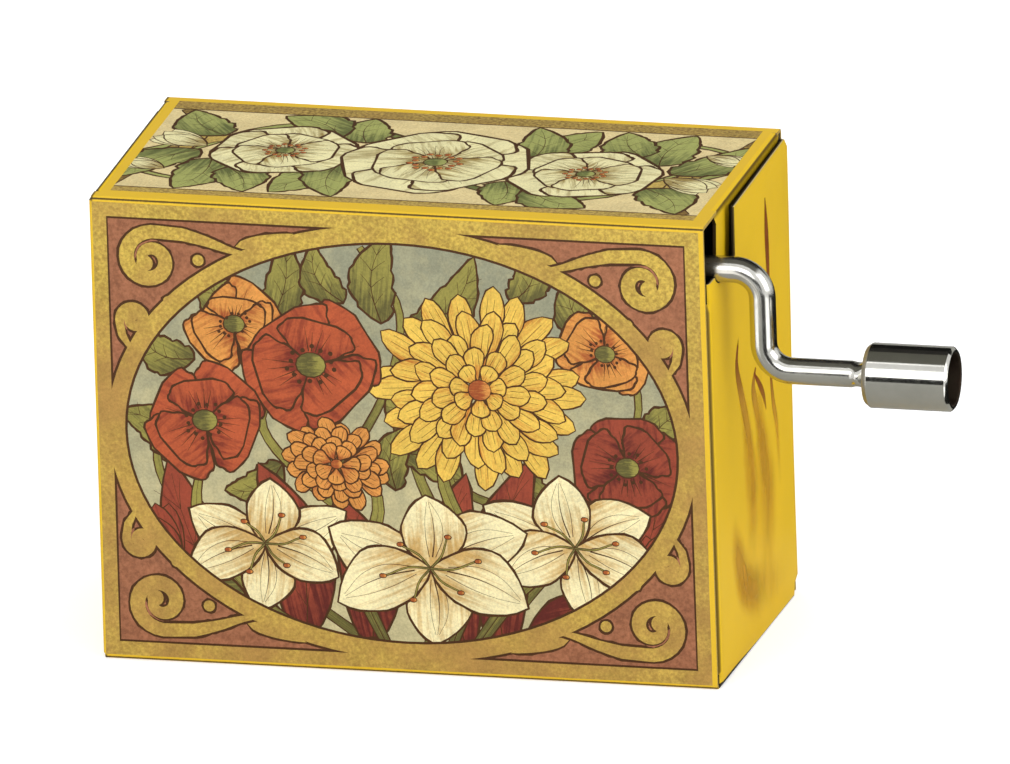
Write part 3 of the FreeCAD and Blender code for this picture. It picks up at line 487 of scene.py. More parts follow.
def ink_material(name):
    light, deep, reach, streaks, mottle, size, edge = INK_WAYS[name]
    colours = inks()
    return surface("ink_" + name, shared_group("printed_ink", ink_group),
                   {"Light": linear(getattr(colours, light)), "Deep": linear(getattr(colours, deep)),
                    "Reach": max(reach, 0.001), "Streaks": streaks, "Mottle": mottle,
                    "Mottle Size": size, "Edge": edge, "Soft Edge": 0.0 if name == "wash" else 0.6,
                    "Cloud": linear(colours.brown_gold), "Clouds": CLOUDED.get(name, 0.0)},
                   bump=(0.15, 0.01), specular=0.22, use_cover=name in SOFT_INKS)


def card_material(name, cut_x, colour="card", edge="board", fold_shade=0.0, **marks):
    colours = inks()
    labelled = {mark.replace("_", " ").title(): value for mark, value in marks.items()}
    return surface(name, shared_group("printed_card", card_group),
                   {"Print": linear(getattr(colours, colour)), "Board": linear(getattr(colours, edge)),
                    "Crease And Shade": linear(colours.crease_and_shade), "Cut X": cut_x,
                    "Roughness": finishes().card_roughness, "Fold": linear(colours.fold),
                    "Fold Shade": fold_shade, **labelled},
                   bump=(0.25, 0.02), specular=0.25)


def metal_material(name, colour, roughness, stretch=(1, 1, 1), line_size=0.1, pits=0.0,
                   tarnish=0.1, depth=0.002):
    return surface(name, shared_group("worked_metal", metal_group),
                   {"Color": linear(colour), "Roughness": roughness, "Stretch": stretch,
                    "Line Size": line_size, "Pits": pits, "Tarnish": tarnish},
                   bump=(0.3, depth), metallic=1.0)


def plastic_material(name, colour, grain_size=0.25, depth=0.4):
    return surface(name, shared_group("moulded_grain", grain_group),
                   {"Color": linear(colour), "Grain Size": grain_size, "Depth": depth},
                   bump=(0.3, 0.03))


# Drawing in the plane of a panel, in millimetres

def vec(x, y):
    return Vector((x, y))


def turned(vector, angle):
    c, s = math.cos(angle), math.sin(angle)
    return vec(c * vector.x - s * vector.y, s * vector.x + c * vector.y)


def spaced(start, end, count):
    """Even steps from start to end, with both ends."""
    return [start + (end - start) * i / count for i in range(count + 1)]


def grid(columns, rows):
    return [(u, v) for u in columns for v in rows]


def smooth_path(points, steps=7):
    """Catmull-Rom curve through given points."""
    points = [Vector(p) for p in points]
    ends = [2 * points[0] - points[1]] + points + [2 * points[-1] - points[-2]]
    path = []
    for i in range(1, len(ends) - 2):
        a, b, c, d = ends[i - 1:i + 3]
        for step in range(steps):
            t = step / steps
            path.append(0.5 * (2 * b + (c - a) * t + (2 * a - 5 * b + 4 * c - d) * t * t
                               + (3 * b - a - 3 * c + d) * t ** 3))
    return path + [points[-1]]


def spiral_path(centre, start_radius, end_radius, start_angle, turns, steps):
    """Coil about a centre, closing faster at its start."""
    path = []
    for step in range(steps + 1):
        t = step / steps
        radius = start_radius + (end_radius - start_radius) * t ** 0.8
        path.append(centre + turned(vec(radius, 0), start_angle + 2 * math.pi * turns * t))
    return path


def straight_frame(base, tip, half_width):
    """Turns a point into its share along base to tip and its share across."""
    axis = tip - base
    reach = axis.length
    axis = axis / reach
    across = vec(-axis.y, axis.x)
    return lambda p: ((p - base).dot(axis) / reach, (p - base).dot(across) / half_width)


def petal(base, tip, width, belly=0.6, blunt=0.7, bend=0.0, wave=0.0, notch=0.0, steps=9, teeth=0):
    """Outline of a petal or leaf with its frame. bend curves it, notch dents its tip."""
    axis = tip - base
    across = vec(-axis.y, axis.x).normalized()
    power = math.log(0.5) / math.log(belly)
    sides = ([], [])
    for step in range(1, steps):
        t = step / steps
        half = 0.5 * width * math.sin(math.pi * t ** power) ** blunt
        half *= 1 + wave * math.sin(t * 21 + width * 5)
        if teeth:
            half *= 1 + 0.36 * ((t * teeth) % 1) * (1 - t)
        middle = base + axis * t + across * bend * axis.length * math.sin(math.pi * t)
        for side, sign in zip(sides, (1, -1)):
            side.append(middle + across * half * sign)
    top = tip - axis * notch
    return ([base] + sides[1] + [top] + sides[0][::-1], straight_frame(base, tip, width / 2))


THINNEST = 0.02         # half the least width of a stroke


def stroke(path, start_width, end_width, belly=0.0):
    """Outline of a brush stroke along a path, with a frame that follows the path."""
    count = len(path) - 1
    left, right, halves = [], [], []
    for i, point in enumerate(path):
        along = (path[min(i + 1, count)] - path[max(i - 1, 0)]).normalized()
        t = i / count
        half = 0.5 * (start_width + (end_width - start_width) * t + belly * math.sin(math.pi * t))
        halves.append(max(half, THINNEST))
        across = vec(-along.y, along.x) * halves[-1]
        left.append(point + across)
        right.append(point - across)
    line = np.array(path)

    def frame_of(p):
        away = line - np.array(p)
        nearest = int(np.argmin((away ** 2).sum(1)))
        along = (path[min(nearest + 1, count)] - path[max(nearest - 1, 0)]).normalized()
        gap = p - path[nearest]
        return nearest / count, (gap.x * -along.y + gap.y * along.x) / halves[nearest]

    return right + left[::-1], frame_of


def ellipse(centre, a, b, steps):
    points = [centre + vec(a * math.cos(2 * math.pi * i / steps), b * math.sin(2 * math.pi * i / steps))
              for i in range(steps)]
    return points, straight_frame(centre, centre + vec(a, 0), b)


def rectangle(x0, x1, y0, y1):
    return [vec(x0, y0), vec(x1, y0), vec(x1, y1), vec(x0, y1)], straight_frame(
        vec(0, y1), vec(0, y0), (x1 - x0) / 2)


def trimmed(x0, x1, y0, y1, chance, step=5.0, play=0.06):
    """A rectangle whose sides waver as if cut by hand."""
    corners = [vec(x0, y0), vec(x1, y0), vec(x1, y1), vec(x0, y1)]
    outline = []
    for a, b in zip(corners, corners[1:] + corners[:1]):
        count = max(1, round((b - a).length / step))
        across = vec((b - a).y, -(b - a).x).normalized()
        outline += [a + (b - a) * i / count + across * chance.uniform(-play, 0.0) for i in range(count)]
    return outline, rectangle(x0, x1, y0, y1)[1]


def area_of(outline):
    return 0.5 * sum(a.cross(b) for a, b in zip(outline, outline[1:] + outline[:1]))


def inside_of(outline, points):
    """The points that lie within the outline's box."""
    low_x, high_x = min(p.x for p in outline), max(p.x for p in outline)
    low_y, high_y = min(p.y for p in outline), max(p.y for p in outline)
    return [p for p in points if low_x < p[0] < high_x and low_y < p[1] < high_y]


def grown(outline, amount, chance=None):
    """The outline pushed outwards all round, by a slightly uneven amount if chance is given."""
    count = len(outline)
    result = []
    for i, point in enumerate(outline):
        step = amount * chance.uniform(0.72, 1.25) if chance else amount
        along = outline[(i + 1) % count] - outline[i - 1]
        if along.length < 1e-6:
            along = outline[(i + 1) % count] - point
        along = along.normalized()
        result.append(point + vec(along.y, -along.x) * step)
    return result


LINE_END = 0.02         # width of a thin line's far end


class PrintSheet:
    """A panel's shapes in the order in which they are printed, the ground first."""

    def __init__(self, ground, ink, seed):
        self.shapes = []
        self.chance = random.Random(seed)
        self.lay(ground, ink, 0.0)

    def lay(self, shape, ink, line=None):
        """Prints a shape over what is there, with an outline of the given width."""
        outline, frame_of = shape
        if area_of(outline) < 0:
            outline = outline[::-1]
        width = sizes().outline if line is None else line
        tone = self.chance.random()
        if width > 0:
            self.shapes.append((grown(outline, width, self.chance), "line", frame_of, tone))
        self.shapes.append((outline, ink, frame_of, tone))

    def join(self, bands, shapes, ink):
        """Prints bands between two loops and shapes that run into them, with one outline round all."""
        width = sizes().outline
        pairs = [(seamed(grown(outer, width), grown(inner, -width)), seamed(outer, inner))
                 for outer, inner in bands]
        for outline, _ in shapes:
            outline = outline if area_of(outline) > 0 else outline[::-1]
            pairs.append((grown(outline, width, self.chance), outline))
        for lined, _ in pairs:
            self.shapes.append((lined, "line", None, 0.5))
        for _, plain in pairs:
            self.shapes.append((plain, ink, None, 0.5))

    def line(self, path, width=None):
        """Thin drawn line that runs out to a point."""
        self.lay(stroke(path, width or sizes().fine_line, LINE_END), "line", 0.0)


LEAK_SHARE = 1.5        # how much more than its outline holds a shape may cover
LEAK_AREA = 3.0         # and beside that, in square millimetres


def check_leaks(name, outlines, cut, triangles, owners):
    """Stops if a shape covers much more of the panel than its outline holds."""
    areas = [0.0] * len(outlines)
    for (a, b, c), owner in zip(triangles, owners):
        area = 0.5 * abs((cut[b] - cut[a]).cross(cut[c] - cut[a]))
        for shape in owner:
            areas[shape] += area
    for covered, (outline, ink, *_) in zip(areas, outlines):
        if covered > LEAK_SHARE * abs(area_of(outline)) + LEAK_AREA:
            raise RuntimeError(f"{name}: a shape of {ink} leaks over {covered:.0f} square mm")


# Pieces

def new_piece(name, mesh, body, materials):
    """An object for a finished mesh, on its body."""
    for material in materials:
        mesh.materials.append(material)
    piece = bpy.data.objects.new(name, mesh)
    bpy.context.scene.collection.objects.link(piece)
    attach(piece, body)
    return piece


def smooth_shading(mesh, angle):
    """Smooth over edges that turn by less than the angle, in degrees."""
    mesh.shade_smooth()
    mesh.set_sharp_from_angle(angle=math.radians(angle))


def close_underside(build, bottom, border):
    """One flat face over the whole underside, along the border's loop."""
    onward = {a: b for a, b in border}
    loop, at = [], next(iter(onward))
    while not loop or at != loop[0]:
        loop.append(at)
        at = onward[at]
    under = build.faces.new([bottom[i] for i in reversed(loop)])
    under.material_index = 0


def slab(name, body, outlines, place, low, high, extra=(), material_of=None, flat=False, ground=True):
    """A thin closed piece cut from the plane of a panel and set in its place.

    outlines are (outline, ink, frame, tone); the last one over a spot shows there. extra are
    points inside, where the piece bends. With flat set, the underside is a single face. With
    ground set, the first outline is the limit of all the others."""
    points, faces = [], []
    for outline, *_ in outlines:
        faces.append(list(range(len(points), len(points) + len(outline))))
        points += [vec(p.x, p.y) for p in outline]
    points += [vec(*p) for p in extra]
    cut, _, triangles, _, _, owners = delaunay_2d_cdt(points, [], faces, 1, 1e-6, True)
    kept = [(triangle, max(owner)) for triangle, owner in zip(triangles, owners)
            if owner and (0 in owner or not ground)]
    check_leaks(name, outlines, cut, triangles, owners)
    mesh = bpy.data.meshes.new(name)
    build = bmesh.new()
    uv = build.loops.layers.uv.new("petal")
    tones = build.faces.layers.float.new("tone")
    levels = build.verts.layers.float.new("level")
    top, bottom = {}, {}

    def vertex(store, index, height):
        if index not in store:
            store[index] = build.verts.new(Vector(place(cut[index].x, cut[index].y, height)) * MM)
            store[index][levels] = float(store is top)
        return store[index]

    names = sorted({outline[1] for outline in outlines})
    border = {}
    for triangle, owner in kept:
        _, ink, frame_of, tone = outlines[owner]
        corners = [vertex(top, i, high) for i in triangle]
        face = build.faces.new(corners)
        face.material_index = names.index(ink)
        face[tones] = tone
        for loop, i in zip(face.loops, triangle):
            loop[uv].uv = frame_of(cut[i]) if frame_of else (0.5, 0.0)
        for a, b in zip(triangle, triangle[1:] + triangle[:1]):
            if border.pop((b, a), None) is None:
                border[(a, b)] = (ink, tone)
        if not flat:
            under = build.faces.new([vertex(bottom, i, low) for i in reversed(triangle)])
            under.material_index = names.index(ink)
    for (a, b), (ink, tone) in border.items():
        wall = build.faces.new([vertex(top, b, high), vertex(top, a, high),
                                vertex(bottom, a, low), vertex(bottom, b, low)])
        wall.material_index = names.index(ink)
        wall[tones] = tone
    if flat:
        close_underside(build, bottom, border)
    build.normal_update()
    build.to_mesh(mesh)
    build.free()
    materials = [(material_of or ink_material)(ink) for ink in names]
    return new_piece(name, mesh, body, materials)


# Flowers and leaves

def chrysanthemum(sheet, centre, radius, squash=1.0, lean=0.0, ink="straw",
                  rings=(21, 18, 15, 11, 7)):
    """Full blossom of narrow spoon-shaped petals in closing rings."""
    chance = sheet.chance
    for ring, count in enumerate(rings):
        reach = radius * (1 - 0.185 * ring)
        for i in range(count):
            angle = 2 * math.pi * (i + 0.5 * (ring % 2)) / count + chance.uniform(-0.08, 0.08)
            out = turned(vec(math.cos(angle), squash * math.sin(angle)), lean)
            tip = centre + out * reach * chance.uniform(0.92, 1.06)
            base = centre + out * reach * 0.2
            width = 2.0 * math.pi * reach * 0.68 / count
            sheet.lay(petal(base, tip, width, 0.7, 0.7, chance.uniform(-0.09, 0.09), 0.03, 0.02, 12),
                      ink, 0.17)
            across = vec(-out.y, out.x) * width * 0.16
            for side in (-1, 1):
                sheet.line([base + (tip - base) * t + across * side for t in (0.5, 0.68, 0.84)],
                           width=0.07)
    sheet.lay(ellipse(centre, radius * 0.1, radius * 0.1 * squash, 12), "amber", 0.12)


def poppy(sheet, centre, radius, squash=0.85, lean=0.0, ink="poppy"):
    """Open blossom of broad wavy petals in two layers, round a seed head with dark stamens."""
    chance = sheet.chance
    for count, reach, start in ((4, 1.0, 0.4), (3, 0.8, 1.1)):
        for i in range(count):
            angle = start + 2 * math.pi * i / count + chance.uniform(-0.15, 0.15)
            out = turned(vec(math.cos(angle), squash * math.sin(angle)), lean)
            tip = centre + out * radius * reach
            sheet.lay(petal(centre, tip, radius * 1.3 * reach, 0.66, 0.58, 0.0, 0.05, 0.05, 20),
                      ink, 0.24)
            for k in (-0.5, -0.18, 0.2, 0.5):
                vein = turned(out, k * 0.7) * radius * reach
                sheet.line(smooth_path([centre + vein * 0.3, centre + vein * 0.55,
                                        centre + vein * chance.uniform(0.68, 0.85)], 3))
    sheet.lay(ellipse(centre, radius * 0.2, radius * 0.17, 14), "moss", 0.13)
    step = 0.449        # angle from one of the fourteen stamens to the next
    for i in range(14):
        out = turned(vec(math.cos(i * step), squash * math.sin(i * step)), lean)
        spot = centre + out * radius * (0.29 + 0.05 * (i % 2))
        sheet.lay(ellipse(spot, radius * 0.035, radius * 0.035, 7), "line", 0.0)


def lily(sheet, centre, radius, squash=0.8, lean=0.0, ink="cream", start=0.3):
    """Six pointed petals, each with a rib, and long stamens."""
    chance = sheet.chance
    for layer in (0, 1):
        for i in range(3):
            angle = start + 2 * math.pi * (i + 0.5 * layer) / 3
            out = turned(vec(math.cos(angle), squash * math.sin(angle)), lean)
            tip = centre + out * radius * (1.0 if layer == 0 else 0.96)
            bend = chance.choice((-1, 1)) * 0.08
            sheet.lay(petal(centre, tip, radius * 0.56, 0.5, 0.8, bend, 0.015, 0.0, 12), ink)
            across = vec(-out.y, out.x)
            middle = [centre + out * radius * t + across * bend * radius * math.sin(math.pi * t)
                      for t in (0.15, 0.4, 0.65, 0.88)]
            sheet.line(smooth_path(middle, 4), width=0.16)
            for side in (-1, 1):
                sheet.line(smooth_path([m + across * side * radius * w for m, w in
                                        zip(middle, (0.04, 0.11, 0.1, 0.02))], 4), width=0.08)
    step = 1.047        # angle from one of the six stamens to the next
    for i in range(6):
        angle = start + 0.5 + i * step
        out = turned(vec(math.cos(angle), squash * math.sin(angle)), lean) * radius
        sheet.lay(stroke(smooth_path([centre, centre + out * 0.2, centre + turned(out, 0.2) * 0.4], 4),
                         0.16, 0.1), "moss", 0.07)
        sheet.lay(ellipse(centre + turned(out, 0.2) * 0.43, 0.34, 0.2, 9), "amber", 0.1)


def anemone(sheet, centre, radius, squash=0.92, lean=0.0, start=0.2, ink="pearl"):
    """Open blossom of broad notched petals in two rounds, with a crown of stamens."""
    chance = sheet.chance

    def out_at(angle):
        return turned(vec(math.cos(angle), squash * math.sin(angle)), lean) * radius

    for count, reach, shift in ((6, 1.0, 0.0), (5, 0.7, 0.4)):
        for i in range(count):
            out = out_at(start + 2 * math.pi * (i + shift) / count + chance.uniform(-0.1, 0.1))
            out *= reach * chance.uniform(0.93, 1.05)
            sheet.lay(petal(centre, centre + out, radius * reach * 1.16, 0.68, 0.5,
                            chance.uniform(-0.05, 0.05), 0.045, 0.05, 20),
                      ink, 0.38 if reach == 1.0 else 0.28)
            for turn in (-0.3, -0.13, 0.1, 0.27):
                sheet.line(smooth_path([centre + turned(out, turn) * 0.36,
                                        centre + turned(out, turn * 0.85) * 0.56,
                                        centre + turned(out, turn) * chance.uniform(0.7, 0.86)], 3),
                           width=0.1)
    for i in range(18):
        out = out_at(start + i * math.pi / 9) * (0.22 + 0.05 * (i % 2))
        sheet.line([centre + out * 0.5, centre + out], width=0.1)
        sheet.lay(ellipse(centre + out, radius * 0.035, radius * 0.03, 8), "amber", 0.09)
    sheet.lay(ellipse(centre, radius * 0.12, radius * 0.12 * squash, 14), "sage", 0.16)


def tulip(sheet, foot, tip, ink="claret"):
    """Closed blossom seen from the side."""
    axis = tip - foot
    across = vec(-axis.y, axis.x)
    for side, lift in ((-1, 0.95), (1, 0.95), (-0.45, 1.02), (0.5, 1.0), (0, 0.9)):
        end = foot + axis * lift + across * 0.32 * side
        sheet.lay(petal(foot, end, axis.length * 0.5, 0.52, 0.75, -0.1 * side), ink, 0.15)
    for side in (-0.12, 0.1):
        sheet.line(smooth_path([foot + axis * 0.2 + across * side * 0.4,
                                foot + axis * 0.5 + across * side,
                                foot + axis * 0.75 + across * side * 0.8], 4))


def leaf(sheet, base, tip, width, ink="moss", bend=0.12, veins=4, line=None, teeth=0):
    """Pointed leaf with a midrib and side veins."""
    steps = 12 if not teeth else 4 * teeth
    sheet.lay(petal(base, tip, width, 0.42, 0.8, bend, 0.0, 0.0, steps, teeth), ink, line)
    axis = tip - base
    across = vec(-axis.y, axis.x)
    rib = [base + axis * t + across * bend * math.sin(math.pi * t)
           for t in (0.0, 0.2, 0.4, 0.6, 0.8, 0.93)]
    sheet.line(smooth_path(rib, 3), width=0.14)
    for k in range(1, veins + 1):
        t = k / (veins + 1.3)
        root = base + axis * t + across * bend * math.sin(math.pi * t)
        for side in (-1, 1):
            end = root + axis * 0.14 + across.normalized() * side * width * 0.33 * math.sin(math.pi * t)
            sheet.line([root, (root + end) / 2 + axis * 0.01, end], width=0.08)


def blade(sheet, points, width, ink="moss"):
    """Long grassy leaf with a line down its middle."""
    path = smooth_path(points, 6)
    sheet.lay(stroke(path, width * 0.5, 0.05, width * 0.55), ink, 0.15)
    sheet.line(path[1:-3], width=0.1)


def stem(sheet, points, width, ink="moss", line=0.14):
    sheet.lay(stroke(smooth_path(points, 6), width, width * 0.7), ink, line)


def seamed(outer, inner):
    """One outline for the band between two loops."""
    return outer + [outer[0], inner[0]] + inner[::-1]


# Places on the carton

def on_front(x, z, height):
    return x, -HALF_DEPTH - height, z


def on_back(x, z, height):
    return -x, HALF_DEPTH + height, z


def on_top(x, y, height):
    return x, y, HEIGHT + height


def oval(a, b, centre):
    return ellipse(centre, a, b, 96)[0]


def coil_path(points, centre, start_radius, end_radius, start_angle, turns):
    """A smooth path through the points that runs on into a coil."""
    return smooth_path(points, 7)[:-1] + spiral_path(centre, start_radius, end_radius, start_angle,
                                                     turns, 34)


def scroll_shapes(path, width):
    """A scroll that grows from a point, swells along its middle and ends in a round eye."""
    return [stroke(path, width * 0.12, width * 0.62, width * 0.68),
            ellipse(path[-1], width * 0.58, width * 0.58, 16)]


def framed_oval(sheet, left, right, low, high):
    """Gold band round the panel, with russet corners and scrolls outside an oval ring."""
    measures = sizes()
    middle = vec((left + right) / 2, (low + high) / 2)
    half_x, half_y = (right - left) / 2, (high - low) / 2
    inner_x, inner_y = half_x - measures.band, half_y - measures.band
    a, b = inner_x + 0.5, inner_y + 0.5
    ring = (oval(a, b, middle), oval(a - measures.ring, b - measures.ring, middle))
    around = ((1, 0), (1, 1), (0, 1), (-1, 1), (-1, 0), (-1, -1), (0, -1), (1, -1))
    outer = [middle + vec(x * half_x, y * half_y) for x, y in around]
    inner = [middle + vec(x * inner_x, y * inner_y) for x, y in around]
    scrolls = []
    for side_x in (1, -1):
        for side_y in (1, -1):
            ground, curls = corner(middle, inner_x, inner_y, a, b, side_x, side_y)
            sheet.lay((ground, None), "russet", 0.0)
            scrolls += curls
    sheet.join([(outer, inner), ring], scrolls, "gold")


def corner(middle, half_x, half_y, a, b, side_x, side_y):
    """Russet ground between the band's corner and the oval ring, and the scrolls on it."""
    def at(x, y):
        return middle + vec(side_x * x, side_y * y)

    def inset(x, y):
        """Place at the given distances in from the band's corner."""
        return at(half_x - x, half_y - y)

    arc = [at((a - 0.4) * math.cos(t), (b - 0.4) * math.sin(t)) for t in spaced(0.02, 1.55, 30)]
    ground = [at(half_x + 0.3, half_y + 0.3), at(half_x + 0.3, 0.5)] + arc + [at(0.5, half_y + 0.3)]

    def coil(points, centre, start_radius, end_radius, angle, turns, width):
        angle = angle if side_x > 0 else math.pi - angle
        angle = angle if side_y > 0 else -angle
        path = coil_path([inset(*p) for p in points], inset(*centre), start_radius, end_radius, angle,
                         turns * side_x * side_y)
        return scroll_shapes(path, width)

    scrolls = coil([(16.0, 3.6), (13.2, 3.1), (10.4, 2.2), (7.6, 1.5)], (4.5, 4.5), 3.2, 0.7,
                   1.9, -1.4, 1.5)
    scrolls += coil([(2.6, 15.0), (1.9, 13.8), (1.2, 12.6)], (2.6, 11.0), 1.6, 0.4, -0.35, 1.25, 1.1)
    scrolls.append(petal(inset(13.6, 2.6), inset(19.8, 0.9), 1.2, 0.35, 0.8))
    scrolls.append(ellipse(inset(9.6, 4.3), 0.6, 0.6, 14))
    scrolls.append(ellipse(inset(6.3, 8.9), 0.55, 0.55, 14))
    return ground, scrolls


def front_sheet():
    """Flowers in an oval on a hazy ground."""
    left, right, low, high = 0.12 - HALF_LENGTH, HALF_LENGTH - 0.5, 0.5, HEIGHT - 0.5
    edge = trimmed(left, right, low, high, random.Random(3))
    sheet = PrintSheet(edge, "haze", 11)
    stems_and_leaves(sheet)
    poppy(sheet, vec(-17.6, 37.0), 5.4, 0.6, 0.5, "amber")
    poppy(sheet, vec(21.6, 35.8), 5.2, 0.7, -0.6, "amber")
    lower_leaves(sheet)
    chrysanthemum(sheet, vec(8.2, 31.2), 11.8, 0.92, 0.25)
    poppy(sheet, vec(-9.6, 33.0), 7.6, 0.78, 0.2)
    poppy(sheet, vec(-21.0, 26.4), 6.4, 0.85, 0.6)
    poppy(sheet, vec(23.6, 23.6), 6.0, 0.9, -0.4, "claret")
    chrysanthemum(sheet, vec(-7.2, 22.4), 6.0, 0.8, -0.3, "amber", (15, 13, 10, 7))
    lily(sheet, vec(-15.0, 13.4), 9.6, 0.74, 0.2)
    lily(sheet, vec(17.8, 14.6), 10.4, 0.74, -0.3, "cream", 0.9)
    lily(sheet, vec(2.4, 11.6), 12.0, 0.68, 0.0, "cream", 0.55)
    framed_oval(sheet, left, right, low, high)
    return sheet


def stems_and_leaves(sheet):
    """Whiplash stems behind the blossoms, with leaves between them."""
    for points, width in (
            ([(3, 3), (0, 12), (-10, 20), (-15, 27), (-9, 34)], 1.0),
            ([(-4, 3), (-14, 10), (-24, 17), (-26, 24), (-21, 28)], 0.9),
            ([(2, 3), (4, 14), (1, 24), (4, 33), (11, 31)], 1.1),
            ([(8, 3), (17, 14), (25, 20), (28, 27)], 0.9),
            ([(-8, 20), (-2, 30), (0, 39), (-4, 46)], 0.8),
            ([(1, 24), (9, 19), (20, 20), (25, 30), (22, 39)], 0.8),
            ([(-16, 26), (-20, 34), (-15, 41)], 0.7)):
        stem(sheet, [vec(*p) for p in points], width)
    for base, tip, width, bend in (
            ((-2, 38), (-1, 47.5), 4.2, 0.15), ((1, 37), (8, 45.5), 4.0, -0.15),
            ((-15, 38), (-21, 44), 4.0, 0.2), ((-14, 37), (-12, 46.5), 3.6, -0.1),
            ((22, 37), (18, 44.5), 4.0, 0.2), ((23, 35), (28, 40), 4.0, -0.2),
            ((-24, 22), (-30, 27), 4.0, -0.2), ((-22, 33), (-28, 36), 3.6, 0.2),
            ((0, 24), (6, 19.5), 3.6, 0.2), ((26, 26), (30.5, 30), 3.4, 0.15),
            ((-13, 22), (-19, 19), 3.6, 0.2), ((3, 26), (-1, 32), 3.0, 0.2),
            ((-6, 40), (-9, 46), 3.4, 0.2), ((12, 41), (14, 46.5), 3.4, -0.2),
            ((-1, 20), (1, 27), 3.2, 0.2), ((13, 22), (18, 17), 3.6, -0.2)):
        leaf(sheet, vec(*base), vec(*tip), width, "moss", bend, 4, None, 5)


def lower_leaves(sheet):
    """Dark red leaves, tulips and green blades low in the picture."""
    for base, tip, width, bend in (
            ((-19, 4), (-29.5, 18), 7.5, 0.15), ((-15, 3), (-25, 22), 7.0, 0.1),
            ((19, 4), (29.5, 17), 7.5, -0.15), ((15, 3), (27.5, 23), 6.5, -0.12),
            ((-11, 3), (-15.5, 22), 6.5, -0.1), ((10, 3), (13.5, 24), 6.5, 0.1),
            ((-4, 3), (-7.5, 19), 6.0, -0.1), ((6, 3), (6.5, 22), 6.0, 0.1),
            ((-22, 5), (-12, 3.2), 4.5, 0.2), ((12, 3.4), (24, 6.4), 4.5, 0.2)):
        leaf(sheet, vec(*base), vec(*tip), width, "claret", bend)
    for points, width in (
            ([(-8, 2), (-17, 8), (-22, 16), (-21, 24)], 1.8),
            ([(6, 2), (12, 10), (19, 16), (20, 25)], 1.8),
            ([(-2, 2), (-5, 10), (-3, 19), (-9, 27)], 1.6),
            ([(4, 2), (7, 12), (4, 22), (8, 28)], 1.6)):
        blade(sheet, [vec(*p) for p in points], width)
    tulip(sheet, vec(-24.5, 9.5), vec(-27.5, 16.5))
    tulip(sheet, vec(25.5, 9.5), vec(27.5, 16.0))
    for base, tip, width, bend in (
            ((-9, 4), (-18, 5), 3.6, 0.2), ((9, 4.2), (22, 6.4), 3.8, -0.2),
            ((-17, 7), (-25, 7), 3.0, -0.2), ((-3, 3.4), (-10, 3.2), 3.0, 0.25)):
        leaf(sheet, vec(*base), vec(*tip), width, "moss", bend)


def garland_sheet(left, right, low, high, front_band, back_band, seed):
    """Pale anemones and ragged leaves on a winding stem, between two bronze bands."""
    edge = trimmed(left, right, low, high, random.Random(seed), play=0.04)
    sheet = PrintSheet(edge, "sand", seed)
    centre = vec((left + right) / 2, (low + front_band + high - back_band) / 2)
    tall = (high - low - front_band - back_band) / 2
    scale = min(1.0, tall / 12.0)

    def at(x, y, half_turn):
        """Place along the panel; y is a share of the field's half height."""
        return centre + vec(x, y * tall) * half_turn

    for half_turn in (1, -1):
        for points, width, ink in (
                ([(0, 0), (8, 0.5), (16, 0.12), (23, -0.38), (31.6, 0.16)], 1.0, "sage"),
                ([(4, -0.5), (12, -0.8), (20, -0.62), (26, 0.0), (31.6, 0.3)], 0.8, "sage"),
                ([(20, 0.5), (25, 0.72), (31.6, 0.5)], 0.6, "sage")):
            stem(sheet, [at(*p, half_turn) for p in points], width, ink, 0.3)
        for points in ([(31.6, 0.98), (29.6, 0.4), (26.4, -0.12), (22.4, -0.34), (16.8, -0.1)],
                       [(29.4, -0.99), (27.4, -0.78), (26.2, -0.3), (27.6, 0.3)]):
            sheet.lay(stroke(smooth_path([at(*p, half_turn) for p in points], 8), 1.0, 0.4, 1.3),
                      "bronze", 0.2)
        for base, tip, width, bend in (
                ((23.0, 0.2), (24.6, 0.97), 5.6, 0.1), ((25.0, 0.0), (31.0, 0.74), 5.0, -0.12),
                ((23.6, -0.4), (28.4, -0.97), 5.2, 0.12), ((20.6, 0.4), (17.4, 0.97), 5.0, 0.1),
                ((8.4, 0.4), (14.6, 0.95), 5.4, -0.12), ((9.4, 0.1), (8.0, 0.98), 4.8, -0.1),
                ((8.6, -0.4), (9.4, -0.98), 5.2, 0.1), ((11.6, -0.5), (18.6, -0.94), 5.0, -0.14)):
            leaf(sheet, at(*base, half_turn), at(*tip, half_turn), width * scale, "sage", bend,
                 3, 0.36, 5)
        for foot, tip in (((24.6, -0.12), (30.2, -0.34)), ((27.2, 0.5), (31.4, 0.36))):
            tulip(sheet, at(*foot, half_turn), at(*tip, half_turn), "pearl")
        anemone(sheet, at(16.2, -0.1, half_turn), 7.8 * scale, 0.92, 0.2, 0.6)
    anemone(sheet, centre, 9.8 * scale, 0.95, 0.0, 0.25)
    for y0, y1 in ((low, low + front_band), (high - back_band, high)):
        sheet.lay((rectangle(left, right, y0, y1)[0], None), "bronze", 0.0)
        inner = y1 if y0 == low else y0
        sheet.lay(rectangle(left, right, inner - 0.1, inner + 0.1), "line", 0.0)
    return sheet


def back_sheet():
    """Plain framed field with one garland."""
    half, low, high = HALF_LENGTH - 0.5, 0.5, HEIGHT - 0.5
    sheet = garland_sheet(-half, half, 15.0, 34.0, 1.4, 1.4, 31)
    field = PrintSheet(trimmed(-half, half, low, high, random.Random(5)), "haze", 29)
    field.shapes += sheet.shapes
    band = sizes().band
    inner = rectangle(-half + band, half - band, low + band, high - band)[0]
    outer = rectangle(-half, half, low, high)[0]
    field.join([(outer, inner)], [], "gold")
    return field


